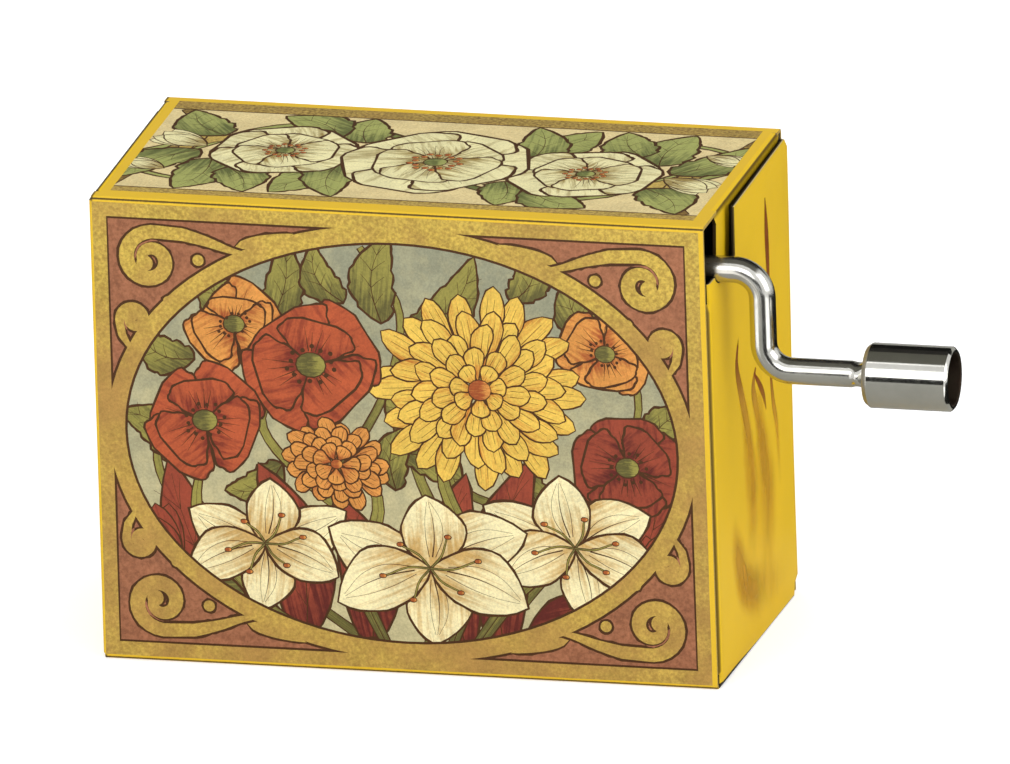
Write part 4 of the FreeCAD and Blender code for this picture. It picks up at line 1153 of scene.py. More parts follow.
# The crank, whose shaft the closing panel's notch goes round
WIRE_RADIUS = 1.38
BEND_RADIUS = 2.9
KNOB_Z = (KNOB_LOW.z + KNOB_HIGH.z) / 2
CRANK_Y = (KNOB_LOW.y + KNOB_HIGH.y) / 2
SHAFT_Z = WIRE_HIGH.z - WIRE_RADIUS
ARM_X = 37.45
STAKE_X = 47.4          # middle of the pinch that holds the knob
STAKE_REACH = 0.72      # and half its length
RIVET_X = 52.5          # the riveted head begins here
KNOB_BORE = 2.7         # radius
KNOB_WEB_END = 52.0     # the bore's floor
WEB_HOLE = 1.43         # radius of the hole round the wire

# The closing panel at the crank's end, unrolled along Y
PANEL_MIDDLE = END_FACE - BOARD / 2
TUCK_GAP = 0.075        # between the front panel and the tongue behind it
PANEL_BACK = HALF_DEPTH - BOARD / 2 - CREASE
PANEL_FRONT = -(HALF_DEPTH - BOARD / 2 - BOARD - TUCK_GAP) + CREASE
PANEL_TOP = 49.4
PANEL_FOLD = CREASE * math.pi / 2
NOTCH_BACK = -7.4
NOTCH_KNEE = 1.5        # radius of the notch's lower corner
NOTCH_REACH = 1.52      # radius of the notch's curl round the crank's shaft
NOTCH_DROP = 0.6        # how far the notch's sill lies below the shaft's middle
TONGUE_REACH = 6.2      # how far the tongue runs in behind the front panel
MARK_FOOT = 0.35        # no printed mark reaches lower


def smooth_step(value, low, high):
    """0 up to low, 1 from high on, with a smooth rise between."""
    t = min(1.0, max(0.0, (value - low) / (high - low)))
    return t * t * (3 - 2 * t)


def panel_spring(u, z):
    """How far the closing panel stands off its closed place."""
    top = smooth_step(z, 14, 50)
    bulge = 0.72 + 0.28 * math.sin(math.pi * min(1.0, max(0.0, (u + 13) / 28)))
    bulge -= 0.3 * smooth_step(u, 12.5, PANEL_BACK)
    hinge = 1 - smooth_step(u, PANEL_BACK, PANEL_BACK + PANEL_FOLD)
    front = smooth_step(u, PANEL_FRONT, PANEL_FRONT + 5.5)
    ripple = 0.04 * math.sin(u * 0.42 + 0.6) * smooth_step(z, 6, 30)
    return (sizes().spring * top * bulge + ripple) * hinge * front


def on_closing_panel(u, z, height):
    """Place on the closing panel: u is Y on its face and runs on round its folds."""
    if u > PANEL_BACK:
        angle = (u - PANEL_BACK) / CREASE
        radius = CREASE + height
        x = PANEL_MIDDLE - CREASE + radius * math.cos(angle)
        y = PANEL_BACK + radius * math.sin(angle)
    elif u >= PANEL_FRONT:
        x, y = PANEL_MIDDLE + height, u
    else:
        angle = (PANEL_FRONT - u) / CREASE
        if angle < math.pi / 2:
            radius = CREASE + height
            x = PANEL_MIDDLE - CREASE + radius * math.cos(angle)
            y = PANEL_FRONT - radius * math.sin(angle)
        else:
            x = PANEL_MIDDLE - CREASE - (PANEL_FRONT - u - PANEL_FOLD)
            y = PANEL_FRONT - CREASE - height
    return x + panel_spring(u, z), y, z


def closing_panel_outline():
    """The panel unrolled: hinge, chamfered top, notch for the crank and tucked-in tongue."""
    shoulder = PANEL_FRONT - PANEL_FOLD + 0.18
    end = PANEL_FRONT - PANEL_FOLD - TONGUE_REACH
    floor = SHAFT_Z - NOTCH_REACH
    knee = [vec(NOTCH_BACK - NOTCH_KNEE + NOTCH_KNEE * math.cos(a),
                floor + NOTCH_KNEE - NOTCH_KNEE * math.sin(a))
            for a in (0.0, 0.4, 0.8, 1.2, math.pi / 2)]
    lip = math.asin(NOTCH_DROP / NOTCH_REACH)
    cradle = [vec(CRANK_Y - NOTCH_REACH * math.cos(a), SHAFT_Z - NOTCH_REACH * math.sin(a))
              for a in spaced(math.pi / 2, lip, 7)]
    sill = SHAFT_Z - NOTCH_DROP
    return [vec(PANEL_BACK + PANEL_FOLD, 0.5), vec(PANEL_BACK + PANEL_FOLD, 48.8),
            vec(14.4, PANEL_TOP), vec(NOTCH_BACK, PANEL_TOP)] + knee + cradle + [
            vec(PANEL_FRONT, sill - 0.1), vec(shoulder, sill - 0.1), vec(shoulder, 41.6),
            vec(end, 38.2), vec(end, 4.9), vec(shoulder, 1.5), vec(shoulder, 0.1), vec(14.2, 0.1)]


def closing_print():
    """Soft streaks, then tapered strokes over them, as outline, ink, frame and tone."""
    marks = []

    def mark(ink, points, start, end, belly, first=0.0, last=1.0):
        """first and last are the shares of a whole stroke's fading that this one shows."""
        outline, frame_of = stroke(smooth_path([vec(*p) for p in points], 8), start, end, belly)

        def part_of(p):
            along, across = frame_of(p)
            return first + (last - first) * along, across

        marks.append(([vec(p.x, max(p.y, MARK_FOOT)) for p in outline], ink, part_of, 0.5))

    for points, start, end, belly in (
            ([(1.6, 30.0), (2.6, 22.0), (4.8, 15.4), (4.0, 9.0), (1.4, 3.4)], 1.6, 7.0, 4.0),
            ([(-5.4, 29.0), (-2.4, 21.0), (-1.0, 14.6), (-2.2, 7.0)], 1.2, 6.0, 3.0),
            ([(-9.4, 17.0), (-8.0, 12.4), (-5.8, 8.6), (-2.6, 5.4), (2.4, 1.0)], 3.4, 5.0, 3.0),
            ([(-9.0, 9.4), (-3.6, 7.0), (2.4, 5.2), (12.6, 3.2)], 3.4, 5.6, 2.4)):
        mark("wash", points, start, end, belly)
    for points, start, end, belly, first, last in (
            ([(4.6, 46.4), (5.2, 41.6), (6.1, 35.6)], 0.4, 0.8, 1.5, 0.08, 0.17),
            ([(-6.3, 35.0), (-7.1, 32.0), (-5.1, 28.1), (-2.6, 23.6), (-1.2, 19.4), (-1.0, 12.0)],
             0.5, 2.8, 1.0, 0.02, 1.0),
            ([(0.4, 29.4), (-0.6, 27.6), (0.4, 25.3), (2.4, 21.4), (4.8, 15.0)],
             0.6, 2.8, 0.9, 0.16, 1.0),
            ([(-0.3, 29.0), (2.0, 27.0), (3.8, 25.2), (4.8, 23.4)], 0.3, 0.3, 0.9, 0.1, 0.3),
            ([(6.4, 28.0), (7.8, 23.4), (9.4, 19.6), (10.2, 12.6)], 0.6, 1.6, 0.8, 0.1, 1.0),
            ([(-5.6, 10.0), (-4.9, 7.8), (-4.5, 5.0)], 1.2, 1.6, 1.0, 0.45, 0.95)):
        mark("stroke", points, start, end, belly, first, last)
    return marks


# The dust flaps under the top panel
FLAP_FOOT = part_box("right_top_flap")[0].z / MM
FLAP_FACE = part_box("right_top_flap")[1].x / MM
FLAP_END = 31.65        # X where the flap's own card ends, inside the top panel
FLAP_CREASE = 0.06      # middle radius of the flap's sharp fold
FLAP_FOLD = HEIGHT - BOARD / 2 - FLAP_CREASE
FLAP_BEND = FLAP_CREASE * math.pi / 2


def dust_flap_outline(front, back):
    """The flap unrolled: v is Z on its face and runs on over the fold to the top panel."""
    end = FLAP_FOLD + FLAP_BEND + FLAP_FACE - BOARD / 2 - FLAP_CREASE - FLAP_END
    return [vec(front + 1.6, FLAP_FOOT), vec(back - 3.0, FLAP_FOOT), vec(back - 0.2, 48.4),
            vec(back + 0.9, 49.4), vec(back + 0.9, FLAP_FOLD + FLAP_BEND), vec(back, end),
            vec(front, end), vec(front - 0.8, FLAP_FOLD + FLAP_BEND), vec(front - 0.8, 49.4),
            vec(front - 0.1, 48.6), vec(front + 0.2, 41.0)]


def on_dust_flap(side):
    """The function that gives places on the flap at one end, which leans in from its fold."""
    middle = FLAP_FACE - BOARD / 2

    def place(y, v, height):
        lean = sizes().flap_lean * smooth_step(FLAP_FOLD - v, 1.5, 14)
        if v <= FLAP_FOLD:
            return side * (middle + height - lean), side * y, v
        radius = max(FLAP_CREASE + height, 0.01)
        angle = (v - FLAP_FOLD) / FLAP_CREASE
        if angle < math.pi / 2:
            return (side * (middle - FLAP_CREASE + radius * math.cos(angle)), side * y,
                    FLAP_FOLD + radius * math.sin(angle))
        x = middle - FLAP_CREASE - (v - FLAP_FOLD - FLAP_BEND)
        return side * x, side * y, HEIGHT - BOARD / 2 + min(height, BOARD / 2 - 0.004)

    return place


# Round bodies

def finished_mesh(build, name):
    """Turns a closed build's faces outwards and makes it a mesh."""
    bmesh.ops.recalc_face_normals(build, faces=build.faces)
    mesh = bpy.data.meshes.new(name)
    build.to_mesh(mesh)
    build.free()
    return mesh


def swept_mesh(name, rings):
    """Closed skin over rings of points, with one face at each end."""
    build = bmesh.new()
    rows = [[build.verts.new(Vector(p) * MM) for p in ring] for ring in rings]
    count = len(rows[0])
    for low, high in zip(rows, rows[1:]):
        for i in range(count):
            j = (i + 1) % count
            build.faces.new([low[i], low[j], high[j], high[i]])
    build.faces.new(rows[0][::-1])
    build.faces.new(rows[-1])
    return finished_mesh(build, name)


def turned_mesh(name, profile, centre, steps, other_runs):
    """Ring-shaped solid: a closed profile of (x, radius) turned about an axis along X.

    other_runs gives the material's number for each run of the profile that isn't of the first."""
    build = bmesh.new()
    rows = []
    for x, radius in profile:
        row = []
        for i in range(steps):
            angle = 2 * math.pi * i / steps
            place = Vector((x, centre[0] + radius * math.cos(angle),
                            centre[1] + radius * math.sin(angle)))
            row.append(build.verts.new(place * MM))
        rows.append(row)
    for run, (low, high) in enumerate(zip(rows, rows[1:] + rows[:1])):
        for i in range(steps):
            j = (i + 1) % steps
            face = build.faces.new([low[i], low[j], high[j], high[i]])
            face.material_index = other_runs.get(run, 0)
    return finished_mesh(build, name)


def wire_stations():
    """Points along the crank's middle line with the direction there."""
    stations = []

    def run(x0, z0, x1, z1, count):
        for i in range(count):
            t = i / count
            direction = Vector((x1 - x0, 0, z1 - z0)).normalized()
            stations.append((Vector((x0 + (x1 - x0) * t, CRANK_Y, z0 + (z1 - z0) * t)), direction))

    def bend(cx, cz, start, end, count):
        for i in range(count):
            angle = start + (end - start) * i / count
            turn = math.copysign(1, end - start)
            stations.append((Vector((cx + BEND_RADIUS * math.cos(angle), CRANK_Y,
                                     cz + BEND_RADIUS * math.sin(angle))),
                             Vector((-math.sin(angle) * turn, 0, math.cos(angle) * turn))))

    run(WIRE_LOW.x, SHAFT_Z, ARM_X - BEND_RADIUS, SHAFT_Z, 12)
    bend(ARM_X - BEND_RADIUS, SHAFT_Z - BEND_RADIUS, math.pi / 2, 0, 20)
    run(ARM_X, SHAFT_Z - BEND_RADIUS, ARM_X, KNOB_Z + BEND_RADIUS, 10)
    bend(ARM_X + BEND_RADIUS, KNOB_Z + BEND_RADIUS, math.pi, 1.5 * math.pi, 20)
    run(ARM_X + BEND_RADIUS, KNOB_Z, STAKE_X - 1.2, KNOB_Z, 16)
    run(STAKE_X - 1.2, KNOB_Z, STAKE_X + 1.0, KNOB_Z, 26)
    run(STAKE_X + 1.0, KNOB_Z, RIVET_X, KNOB_Z, 8)
    stations.append((Vector((RIVET_X, CRANK_Y, KNOB_Z)), X_AXIS))
    return stations


def stake_radius(x, angle):
    """The wire's radius where the staking tool has pinched it flat and pushed out two wings."""
    reach = (x - STAKE_X) / STAKE_REACH
    if abs(reach) >= 1:
        return WIRE_RADIUS
    press = (1 - reach * reach) ** 2
    flat = abs(math.sin(angle)) ** 6
    wings = abs(math.cos(angle)) ** 8
    return WIRE_RADIUS * (1 - 0.17 * press * flat) + 0.42 * press * wings * (0.6 + 0.4 * reach)


def wire_rings():
    """Round sections of the wire from its inner end to the riveted one."""
    steps = 56
    rings = []
    for point, along in wire_stations():
        across = Y_AXIS
        up = across.cross(along).normalized()
        ring = []
        for i in range(steps):
            angle = 2 * math.pi * i / steps
            radius = WIRE_RADIUS
            if point.x > STAKE_X - 2 and abs(point.z - KNOB_Z) < 0.1:
                radius = stake_radius(point.x, angle)
            ring.append(point + (across * math.cos(angle) + up * math.sin(angle)) * radius)
        rings.append(ring)
    return rings


def rivet_rings():
    """Upset head on the wire's end, inside the knob."""
    profile = ((0.0, 1.2), (0.0, 1.72), (0.18, 1.78), (0.42, 1.62), (0.6, 1.3), (0.7, 0.7))
    angles = [i * math.pi / 20 for i in range(40)]
    return [[Vector((RIVET_X + x, CRANK_Y + radius * math.cos(a), KNOB_Z + radius * math.sin(a)))
             for a in angles] for x, radius in profile]


# The knob's second finish, the blackened bore's, and its third, the dulled chamfer's, by the
# runs of its profile that take them.
KNOB_RUNS = {11: 1, 12: 1, 13: 1, 1: 2, 2: 2, 3: 2}


def knob_profile():
    """The knob's section from the web's hole, out over both rolled edges and back down the bore."""
    radius = (KNOB_HIGH.z - KNOB_LOW.z) / 2
    x0, x1 = KNOB_LOW.x, KNOB_HIGH.x
    return [(x0, WEB_HOLE), (x0, radius - 0.4), (x0 + 0.05, radius - 0.34),
            (x0 + 0.46, radius - 0.03), (x0 + 0.52, radius), (x0 + 0.6, radius),
            (x1 - 0.4, radius), (x1 - 0.32, radius),
            (x1 - 0.27, radius - 0.03), (x1 - 0.03, radius - 0.27), (x1, radius - 0.32),
            (x1, KNOB_BORE + 0.1), (x1 - 0.1, KNOB_BORE), (KNOB_WEB_END, KNOB_BORE),
            (KNOB_WEB_END, WEB_HOLE)]


class PieceOperator:
    """Shared settings of the operators."""
    bl_options = {"REGISTER", "UNDO"}


class MUSICBOX_OT_stage(PieceOperator, bpy.types.Operator):
    """Makes the floor, the lamps, the cards that the metal shows, and the camera"""
    bl_idname = "musicbox.stage"
    bl_label = "Stage"

    def execute(self, context):
        make_world()
        make_floor()
        make_lamps()
        make_cards()
        make_camera()
        view = context.scene.view_settings
        view.view_transform = "Standard"
        return {"FINISHED"}


def seen_directly(w):
    """1 for camera, glossy and transmission rays, 0 for the rest."""
    rays = w.add("ShaderNodeLightPath").outputs
    seen = w.maths("MAXIMUM", rays["Is Camera Ray"], rays["Is Transmission Ray"])
    return w.maths("MAXIMUM", seen, rays["Is Glossy Ray"])


def make_world():
    """Even soft light, seen as white."""
    world = bpy.data.worlds.new("studio")
    world.use_nodes = True
    world.node_tree.nodes.clear()
    w = Wiring(world.node_tree)
    soft = w.add("ShaderNodeBackground", {"Color": (1, 1, 1, 1), "Strength": 0.52})
    white = w.add("ShaderNodeBackground", {"Color": (1, 1, 1, 1), "Strength": 1.0})
    both = w.add("ShaderNodeMixShader", {0: seen_directly(w), 1: soft.outputs[0], 2: white.outputs[0]})
    w.add("ShaderNodeOutputWorld", {"Surface": both.outputs[0]})
    bpy.context.scene.world = world


def plane_mesh(name, corners):
    """One flat face."""
    mesh = bpy.data.meshes.new(name)
    mesh.from_pydata([Vector(c) for c in corners], [], [list(range(len(corners)))])
    return mesh


def make_floor():
    """Pale floor that shows as white and keeps the shadow."""
    size = 3.0
    floor = bpy.data.objects.new("floor", plane_mesh("floor", [(-size, -size, 0), (size, -size, 0),
                                                               (size, size, 0), (-size, size, 0)]))
    material = bpy.data.materials.new("pale_floor")
    material.use_nodes = True
    tree = material.node_tree
    tree.nodes.clear()
    w = Wiring(tree)
    rays = w.add("ShaderNodeLightPath").outputs
    shader = w.add("ShaderNodeBsdfPrincipled", {
        "Base Color": (0.86, 0.86, 0.86, 1), "Roughness": 0.9, "Specular IOR Level": 0.0,
        "Emission Color": (1, 1, 1, 1),
        "Emission Strength": w.times(rays["Is Camera Ray"], 0.42)})
    w.add("ShaderNodeOutputMaterial", {"Surface": shader.outputs["BSDF"]})
    floor.data.materials.append(material)
    bpy.context.scene.collection.objects.link(floor)


LAMPS_AIM = Vector((0.0, 0.0, 0.025))


def make_lamps():
    """Large soft lamps in front, above and at the side."""
    for name, place, size, energy in (
            ("front_lamp", (-0.12, -0.75, 0.36), (0.9, 0.5), 3.1),
            ("top_lamp", (0.05, 0.0, 0.85), (0.9, 0.9), 2.7),
            ("side_lamp", (0.8, -0.25, 0.35), (0.6, 0.6), 2.6)):
        data = bpy.data.lights.new(name, "AREA")
        data.shape = "RECTANGLE"
        data.size, data.size_y = size
        data.energy = energy
        lamp = bpy.data.objects.new(name, data)
        bpy.context.scene.collection.objects.link(lamp)
        lamp.location = place
        lamp.rotation_euler = (LAMPS_AIM - lamp.location).to_track_quat("-Z", "Y").to_euler()


def make_card(name, colour, glow, corners):
    """Studio card that only shows in reflections, glowing by itself or lit by the lamps."""
    card = bpy.data.objects.new(name, plane_mesh(name, corners))
    material = bpy.data.materials.new(name)
    material.use_nodes = True
    shader = material.node_tree.nodes["Principled BSDF"]
    shader.inputs["Base Color"].default_value = colour
    shader.inputs["Roughness"].default_value = 0.9
    shader.inputs["Specular IOR Level"].default_value = 0.0
    shader.inputs["Emission Color"].default_value = colour
    shader.inputs["Emission Strength"].default_value = glow
    card.data.materials.append(material)
    bpy.context.scene.collection.objects.link(card)
    card.visible_camera = False
    card.visible_diffuse = False
    card.visible_shadow = False


def upright(x0, x1, y, z0, z1):
    return [(x0, y, z0), (x1, y, z0), (x1, y, z1), (x0, y, z1)]


def level(z, *corners):
    return [(x, y, z) for x, y in corners]


def make_cards():
    """Dark, grey and glowing cards round the object, which its metal shows."""
    dark = (0.012, 0.012, 0.011, 1)
    dusk = (0.035, 0.033, 0.03, 1)
    dim = (0.15, 0.148, 0.122, 1)
    grey = (0.42, 0.42, 0.39, 1)
    white = (1, 1, 1, 1)
    for name, colour, glow, corners in (
            ("back_card", dark, 0.0, upright(-0.4, 0.45, 0.4, 0.19, 0.5)),
            ("back_low_card", grey, 0.0, upright(-0.4, 0.45, 0.4, 0.0, 0.19)),
            ("roof_card", dim, 0.0,
             level(0.5, (-0.4, 0.16), (0.45, 0.16), (0.45, -0.22), (-0.4, -0.22))),
            ("roof_back_card", dusk, 0.0,
             level(0.5, (-0.4, 0.4), (0.45, 0.4), (0.45, 0.16), (-0.4, 0.16))),
            ("horizon_card", dark, 0.0, upright(-0.4, 0.3, -0.5, 0.0, 0.15)),
            ("shaft_glow_card", white, 1.0, upright(0.0, 0.0265, -0.06, 0.026, 0.056)),
            ("back_floor_card", dark, 0.0,
             level(0.0008, (0.0, 0.03), (0.3, 0.03), (0.3, 0.4), (0.0, 0.4))),
            ("right_floor_card", dark, 0.0,
             level(0.0006, (0.078, -0.012), (0.078, -0.026), (0.4, -0.13), (0.4, 0.03), (0.2, 0.3))),
            ("near_card", dark, 0.0,
             [(0.045, -0.11, 0.0), (0.092, -0.08, 0.0), (0.092, -0.08, 0.03), (0.045, -0.11, 0.03)]),
            ("grey_floor_card", grey, 0.0,
             level(0.0004, (-0.2, -0.075), (0.25, -0.075), (0.25, 0.1), (-0.2, 0.1))),
            ("grey_wedge_card", grey, 0.0,
             level(0.0004, (-0.16, -0.5), (0.0, -0.5), (0.05, -0.075), (0.0, -0.075))),
            ("left_glow_card", white, 1.0,
             level(0.0004, (-0.075, -0.076), (-0.05, -0.12), (-0.02, -0.14), (-0.014, -0.1),
                   (-0.045, -0.076))),
            ("right_glow_card", white, 1.0,
             level(0.0005, (0.078, -0.14), (0.19, -0.14), (0.2, -0.06), (0.09, -0.026)))):
        make_card(name, colour, glow, corners)


# The photograph's view, from a fit to the carton's corners
CAMERA_AZIMUTH = 14.87
CAMERA_ELEVATION = 18.68
CAMERA_ROLL = -1.87
CAMERA_WIDTH = 103.5
CAMERA_SHIFT = (6.343, 1.127)
CAMERA_DISTANCE = 600.0


def make_camera():
    """Camera without perspective at the photograph's place."""
    a, e, r = (math.radians(v) for v in (CAMERA_AZIMUTH, CAMERA_ELEVATION, CAMERA_ROLL))
    back = Vector((math.sin(a) * math.cos(e), -math.cos(a) * math.cos(e), math.sin(e)))
    right = Vector((math.cos(a), math.sin(a), 0))
    up = back.cross(right)
    rolled_right = math.cos(r) * right + math.sin(r) * up
    rolled_up = -math.sin(r) * right + math.cos(r) * up
    centre = Vector((0, 0, HEIGHT / 2)) + CAMERA_SHIFT[0] * rolled_right + CAMERA_SHIFT[1] * rolled_up
    data = bpy.data.cameras.new("camera")
    data.type = "ORTHO"
    data.ortho_scale = CAMERA_WIDTH * MM
    camera = bpy.data.objects.new("camera", data)
    bpy.context.scene.collection.objects.link(camera)
    place = Matrix((rolled_right, rolled_up, back)).transposed().to_4x4()
    place.translation = (centre + back * CAMERA_DISTANCE) * MM
    camera.matrix_world = place
    data.clip_start, data.clip_end = 0.01, 10.0
    bpy.context.scene.camera = camera


def paint(node, material):
    """Gives a CAD node its finish."""
    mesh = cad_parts[node].data
    mesh.materials.clear()
    mesh.materials.append(material)


class MUSICBOX_OT_card(PieceOperator, bpy.types.Operator):
    """Finishes the carton's sleeve, flaps and far closing panel"""
    bl_idname = "musicbox.card"
    bl_label = "Card"

    def execute(self, context):
        # The sleeve's far cut edges carry painted shade.
        paint("carton_sleeve", card_material("card_sleeve", HALF_LENGTH, rim=0.8))
        # The low flaps are painted all over in the dark colour, as painted shade under the closing
        # panel.
        for node in ("right_bottom_flap", "left_bottom_flap"):
            paint(node, card_material("low_flap_painted_shade", 90.0, "crease_and_shade", "board"))
        # The far closing panel's cut edges are painted dark, as painted shadow along the top's far
        # edge.
        paint("left_end_panel", card_material("card_end", 90.0, "card_side", "crease_and_shade"))
        return {"FINISHED"}


def make_closing_panel():
    """The panel at the crank's end, with points all over it and closer ones round its folds."""
    columns = spaced(PANEL_FRONT - PANEL_FOLD, PANEL_FRONT, 6)[1:]
    columns += spaced(PANEL_FRONT, PANEL_BACK, 30)[1:]
    columns += spaced(PANEL_BACK, PANEL_BACK + PANEL_FOLD, 6)[1:-1]
    extra = [(u, z) for u, z in grid(columns, spaced(0.8, 48.2, 44))
             if (u > NOTCH_BACK + 0.2 or z < SHAFT_Z - NOTCH_REACH - 0.3)
             and (1.6 < z < 41.0 or PANEL_FRONT < u < PANEL_BACK)
             and (z > 1.0 or u < 14.0)]
    # Painted shade: dark where the panel tucks in behind the front, along its foot and on the inner
    # half of its cut edges.
    finish = card_material("card_closing", 90.0, "card_side", "edge", tuck=0.85, foot=1.0,
                           shadowed=1.0)
    panel = slab("closing_panel", "carton", [(closing_panel_outline(), "card", None, 0.5)],
                 on_closing_panel, -BOARD / 2, BOARD / 2, extra, lambda _: finish)
    smooth_shading(panel.data, 35)
    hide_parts("right_end_panel")


def make_dust_flap(node, side):
    """The flap under the top panel at one end: side is 1 at the crank's end and -1 at the other."""
    low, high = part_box(node)
    front, back = ((low.y, high.y) if side > 0 else (-high.y, -low.y))
    front, back = front / MM, back / MM
    extra = grid(spaced(front + 1.2, back - 2.6, 20), spaced(34.0, 48.0, 12))
    extra += grid(spaced(front - 0.8, back + 0.8, 24), spaced(FLAP_FOLD, FLAP_FOLD + FLAP_BEND, 6))
    # Painted shade: both flaps have brown painted shade at their folds and dark cut edges; the near one
    # is painted dark behind the panel, the far one along its edge.
    if side > 0:
        finish = card_material("card_flap", 90.0, "card_side", "crease_and_shade", 0.9, scorch=0.92)
    else:
        finish = card_material("card_far_flap", FLAP_FACE + 0.02, "card_side", "crease_and_shade", 0.9,
                               rim=0.95, rim_width=0.4)
    flap = slab("dust_flap_" + ("right" if side > 0 else "left"), "carton",
                [(dust_flap_outline(front, back), "card", None, 0.5)],
                on_dust_flap(side), -BOARD / 2, BOARD / 2, extra, lambda _: finish)
    smooth_shading(flap.data, 35)
    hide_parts(node)


class MUSICBOX_OT_closing_panel(PieceOperator, bpy.types.Operator):
    """Makes the closing panel at the crank's end, sprung open a little, and the dust flaps"""
    bl_idname = "musicbox.closing_panel"
    bl_label = "Closing panel"

    def execute(self, context):
        make_closing_panel()
        for node, side in (("right_top_flap", 1), ("left_top_flap", -1)):
            make_dust_flap(node, side)
        return {"FINISHED"}


class MUSICBOX_OT_closing_print(PieceOperator, bpy.types.Operator):
    """Prints the strokes and the soft wash on the closing panel"""
    bl_idname = "musicbox.closing_print"
    bl_label = "Closing print"

    def execute(self, context):
        extra = grid(spaced(-11.0, 12.0, 46), spaced(1.5, 46.0, 60))
        face = BOARD / 2
        for number, shape in enumerate(closing_print()):
            piece = slab(f"closing_mark_{number:02d}", "carton", [shape], on_closing_panel,
                         face - 0.004, face + 0.003 + 0.0015 * number,
                         inside_of(shape[0], extra), ground=False)
            piece.visible_shadow = False
        return {"FINISHED"}


class MUSICBOX_OT_front_print(PieceOperator, bpy.types.Operator):
    """Prints the front panel's picture"""
    bl_idname = "musicbox.front_print"
    bl_label = "Front print"

    def execute(self, context):
        sheet = front_sheet()
        slab("front_print", "carton", sheet.shapes, on_front, -0.02, sizes().ink_height, flat=True)
        return {"FINISHED"}


class MUSICBOX_OT_top_print(PieceOperator, bpy.types.Operator):
    """Prints the top panel's garland"""
    bl_idname = "musicbox.top_print"
    bl_label = "Top print"

    def execute(self, context):
        half = HALF_LENGTH - 1.55
        sheet = garland_sheet(-half, half, 2.3 - HALF_DEPTH, HALF_DEPTH - 1.5, 1.5, 2.4, 23)
        slab("top_print", "carton", sheet.shapes, on_top, -0.02, sizes().ink_height, flat=True)
        return {"FINISHED"}


class MUSICBOX_OT_back_print(PieceOperator, bpy.types.Operator):
    """Prints the back panel"""
    bl_idname = "musicbox.back_print"
    bl_label = "Back print"

    def execute(self, context):
        sheet = back_sheet()
        slab("back_print", "carton", sheet.shapes, on_back, -0.02, sizes().ink_height, flat=True)
        return {"FINISHED"}


class MUSICBOX_OT_crank(PieceOperator, bpy.types.Operator):
    """Makes the plated crank wire and its turning knob"""
    bl_idname = "musicbox.crank"
    bl_label = "Crank"

    def execute(self, context):
        finish = finishes()
        plating = metal_material("nickel_wire", finish.nickel, finish.nickel_roughness,
                                 (0.25, 1, 0.25), 0.35, 0.25, 0.12)
        mesh = swept_mesh("crank_wire_plated", wire_rings())
        smooth_shading(mesh, 50)
        wire = new_piece("crank_wire_plated", mesh, "crank", [plating])
        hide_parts("crank_wire")
        mesh = swept_mesh("crank_rivet", rivet_rings())
        smooth_shading(mesh, 40)
        new_piece("crank_rivet", mesh, "crank", [plating])
        around = (5, 0.4, 0.4)
        plating = metal_material("nickel_knob", finish.nickel, finish.nickel_roughness - 0.06,
                                 around, 0.5, 0.1, 0.08)
        blackened = metal_material("blackened_bore", finish.bore, 0.55, around, 0.5, 1.0, 0.8, 0.06)
        dulled = metal_material("dulled_chamfer", tuple(0.8 * c for c in finish.nickel), 0.4,
                                around, 0.5, 0.4, 0.4, 0.04)
        mesh = turned_mesh("crank_knob_plated", knob_profile(), (CRANK_Y, KNOB_Z), 96, KNOB_RUNS)
        smooth_shading(mesh, 30)
        knob = new_piece("crank_knob_plated", mesh, "knob", [plating, blackened, dulled])
        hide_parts("crank_knob")
        return {"FINISHED"}


class MUSICBOX_OT_movement(PieceOperator, bpy.types.Operator):
    """Finishes the comb movement inside"""
    bl_idname = "musicbox.movement"
    bl_label = "Movement"

    def execute(self, context):
        finish = finishes()
        zinc = metal_material("zinc_casting", finish.zinc, 0.42, (1, 1, 1), 0.5, 1.0, 0.3, 0.01)
        steel = metal_material("ground_steel", finish.steel, 0.24, (6, 1, 0.4), 0.4, 0.0, 0.1)
        bright = metal_material("plated_screw", finish.nickel, 0.2, (3, 3, 3), 0.4, 0.0, 0.1)
        brass = metal_material("drum_brass", finish.brass, 0.26, (0.5, 0.5, 4), 0.4, 0.1, 0.15)
        lead = metal_material("lead_weight", finish.lead, 0.5, (1, 1, 1), 0.6, 0.6, 0.4)
        black = plastic_material("black_plastic", finish.black_plastic)
        pale = plastic_material("pale_plastic", finish.pale_plastic)
        foam = plastic_material("foam_tape", finish.foam, 0.35, 1.0)
        for material, nodes in (
                (zinc, ("bedplate",)), (steel, ("comb", "arbor_bracket", "drum_arbor", "thrust_washer",
                                                "arbor_washer", "shaft_clip")),
                (bright, ("comb_screws", "bracket_screws")), (brass, ("drum_sleeve", "knob_washer")),
                (lead, ("comb_weights",)), (black, ("drum_lower_cap", "drum_upper_cap")),
                (pale, ("worm", "drum_gear")), (foam, ("adhesive_pads",))):
            for node in nodes:
                paint(node, material)
        make_pins(steel)
        return {"FINISHED"}


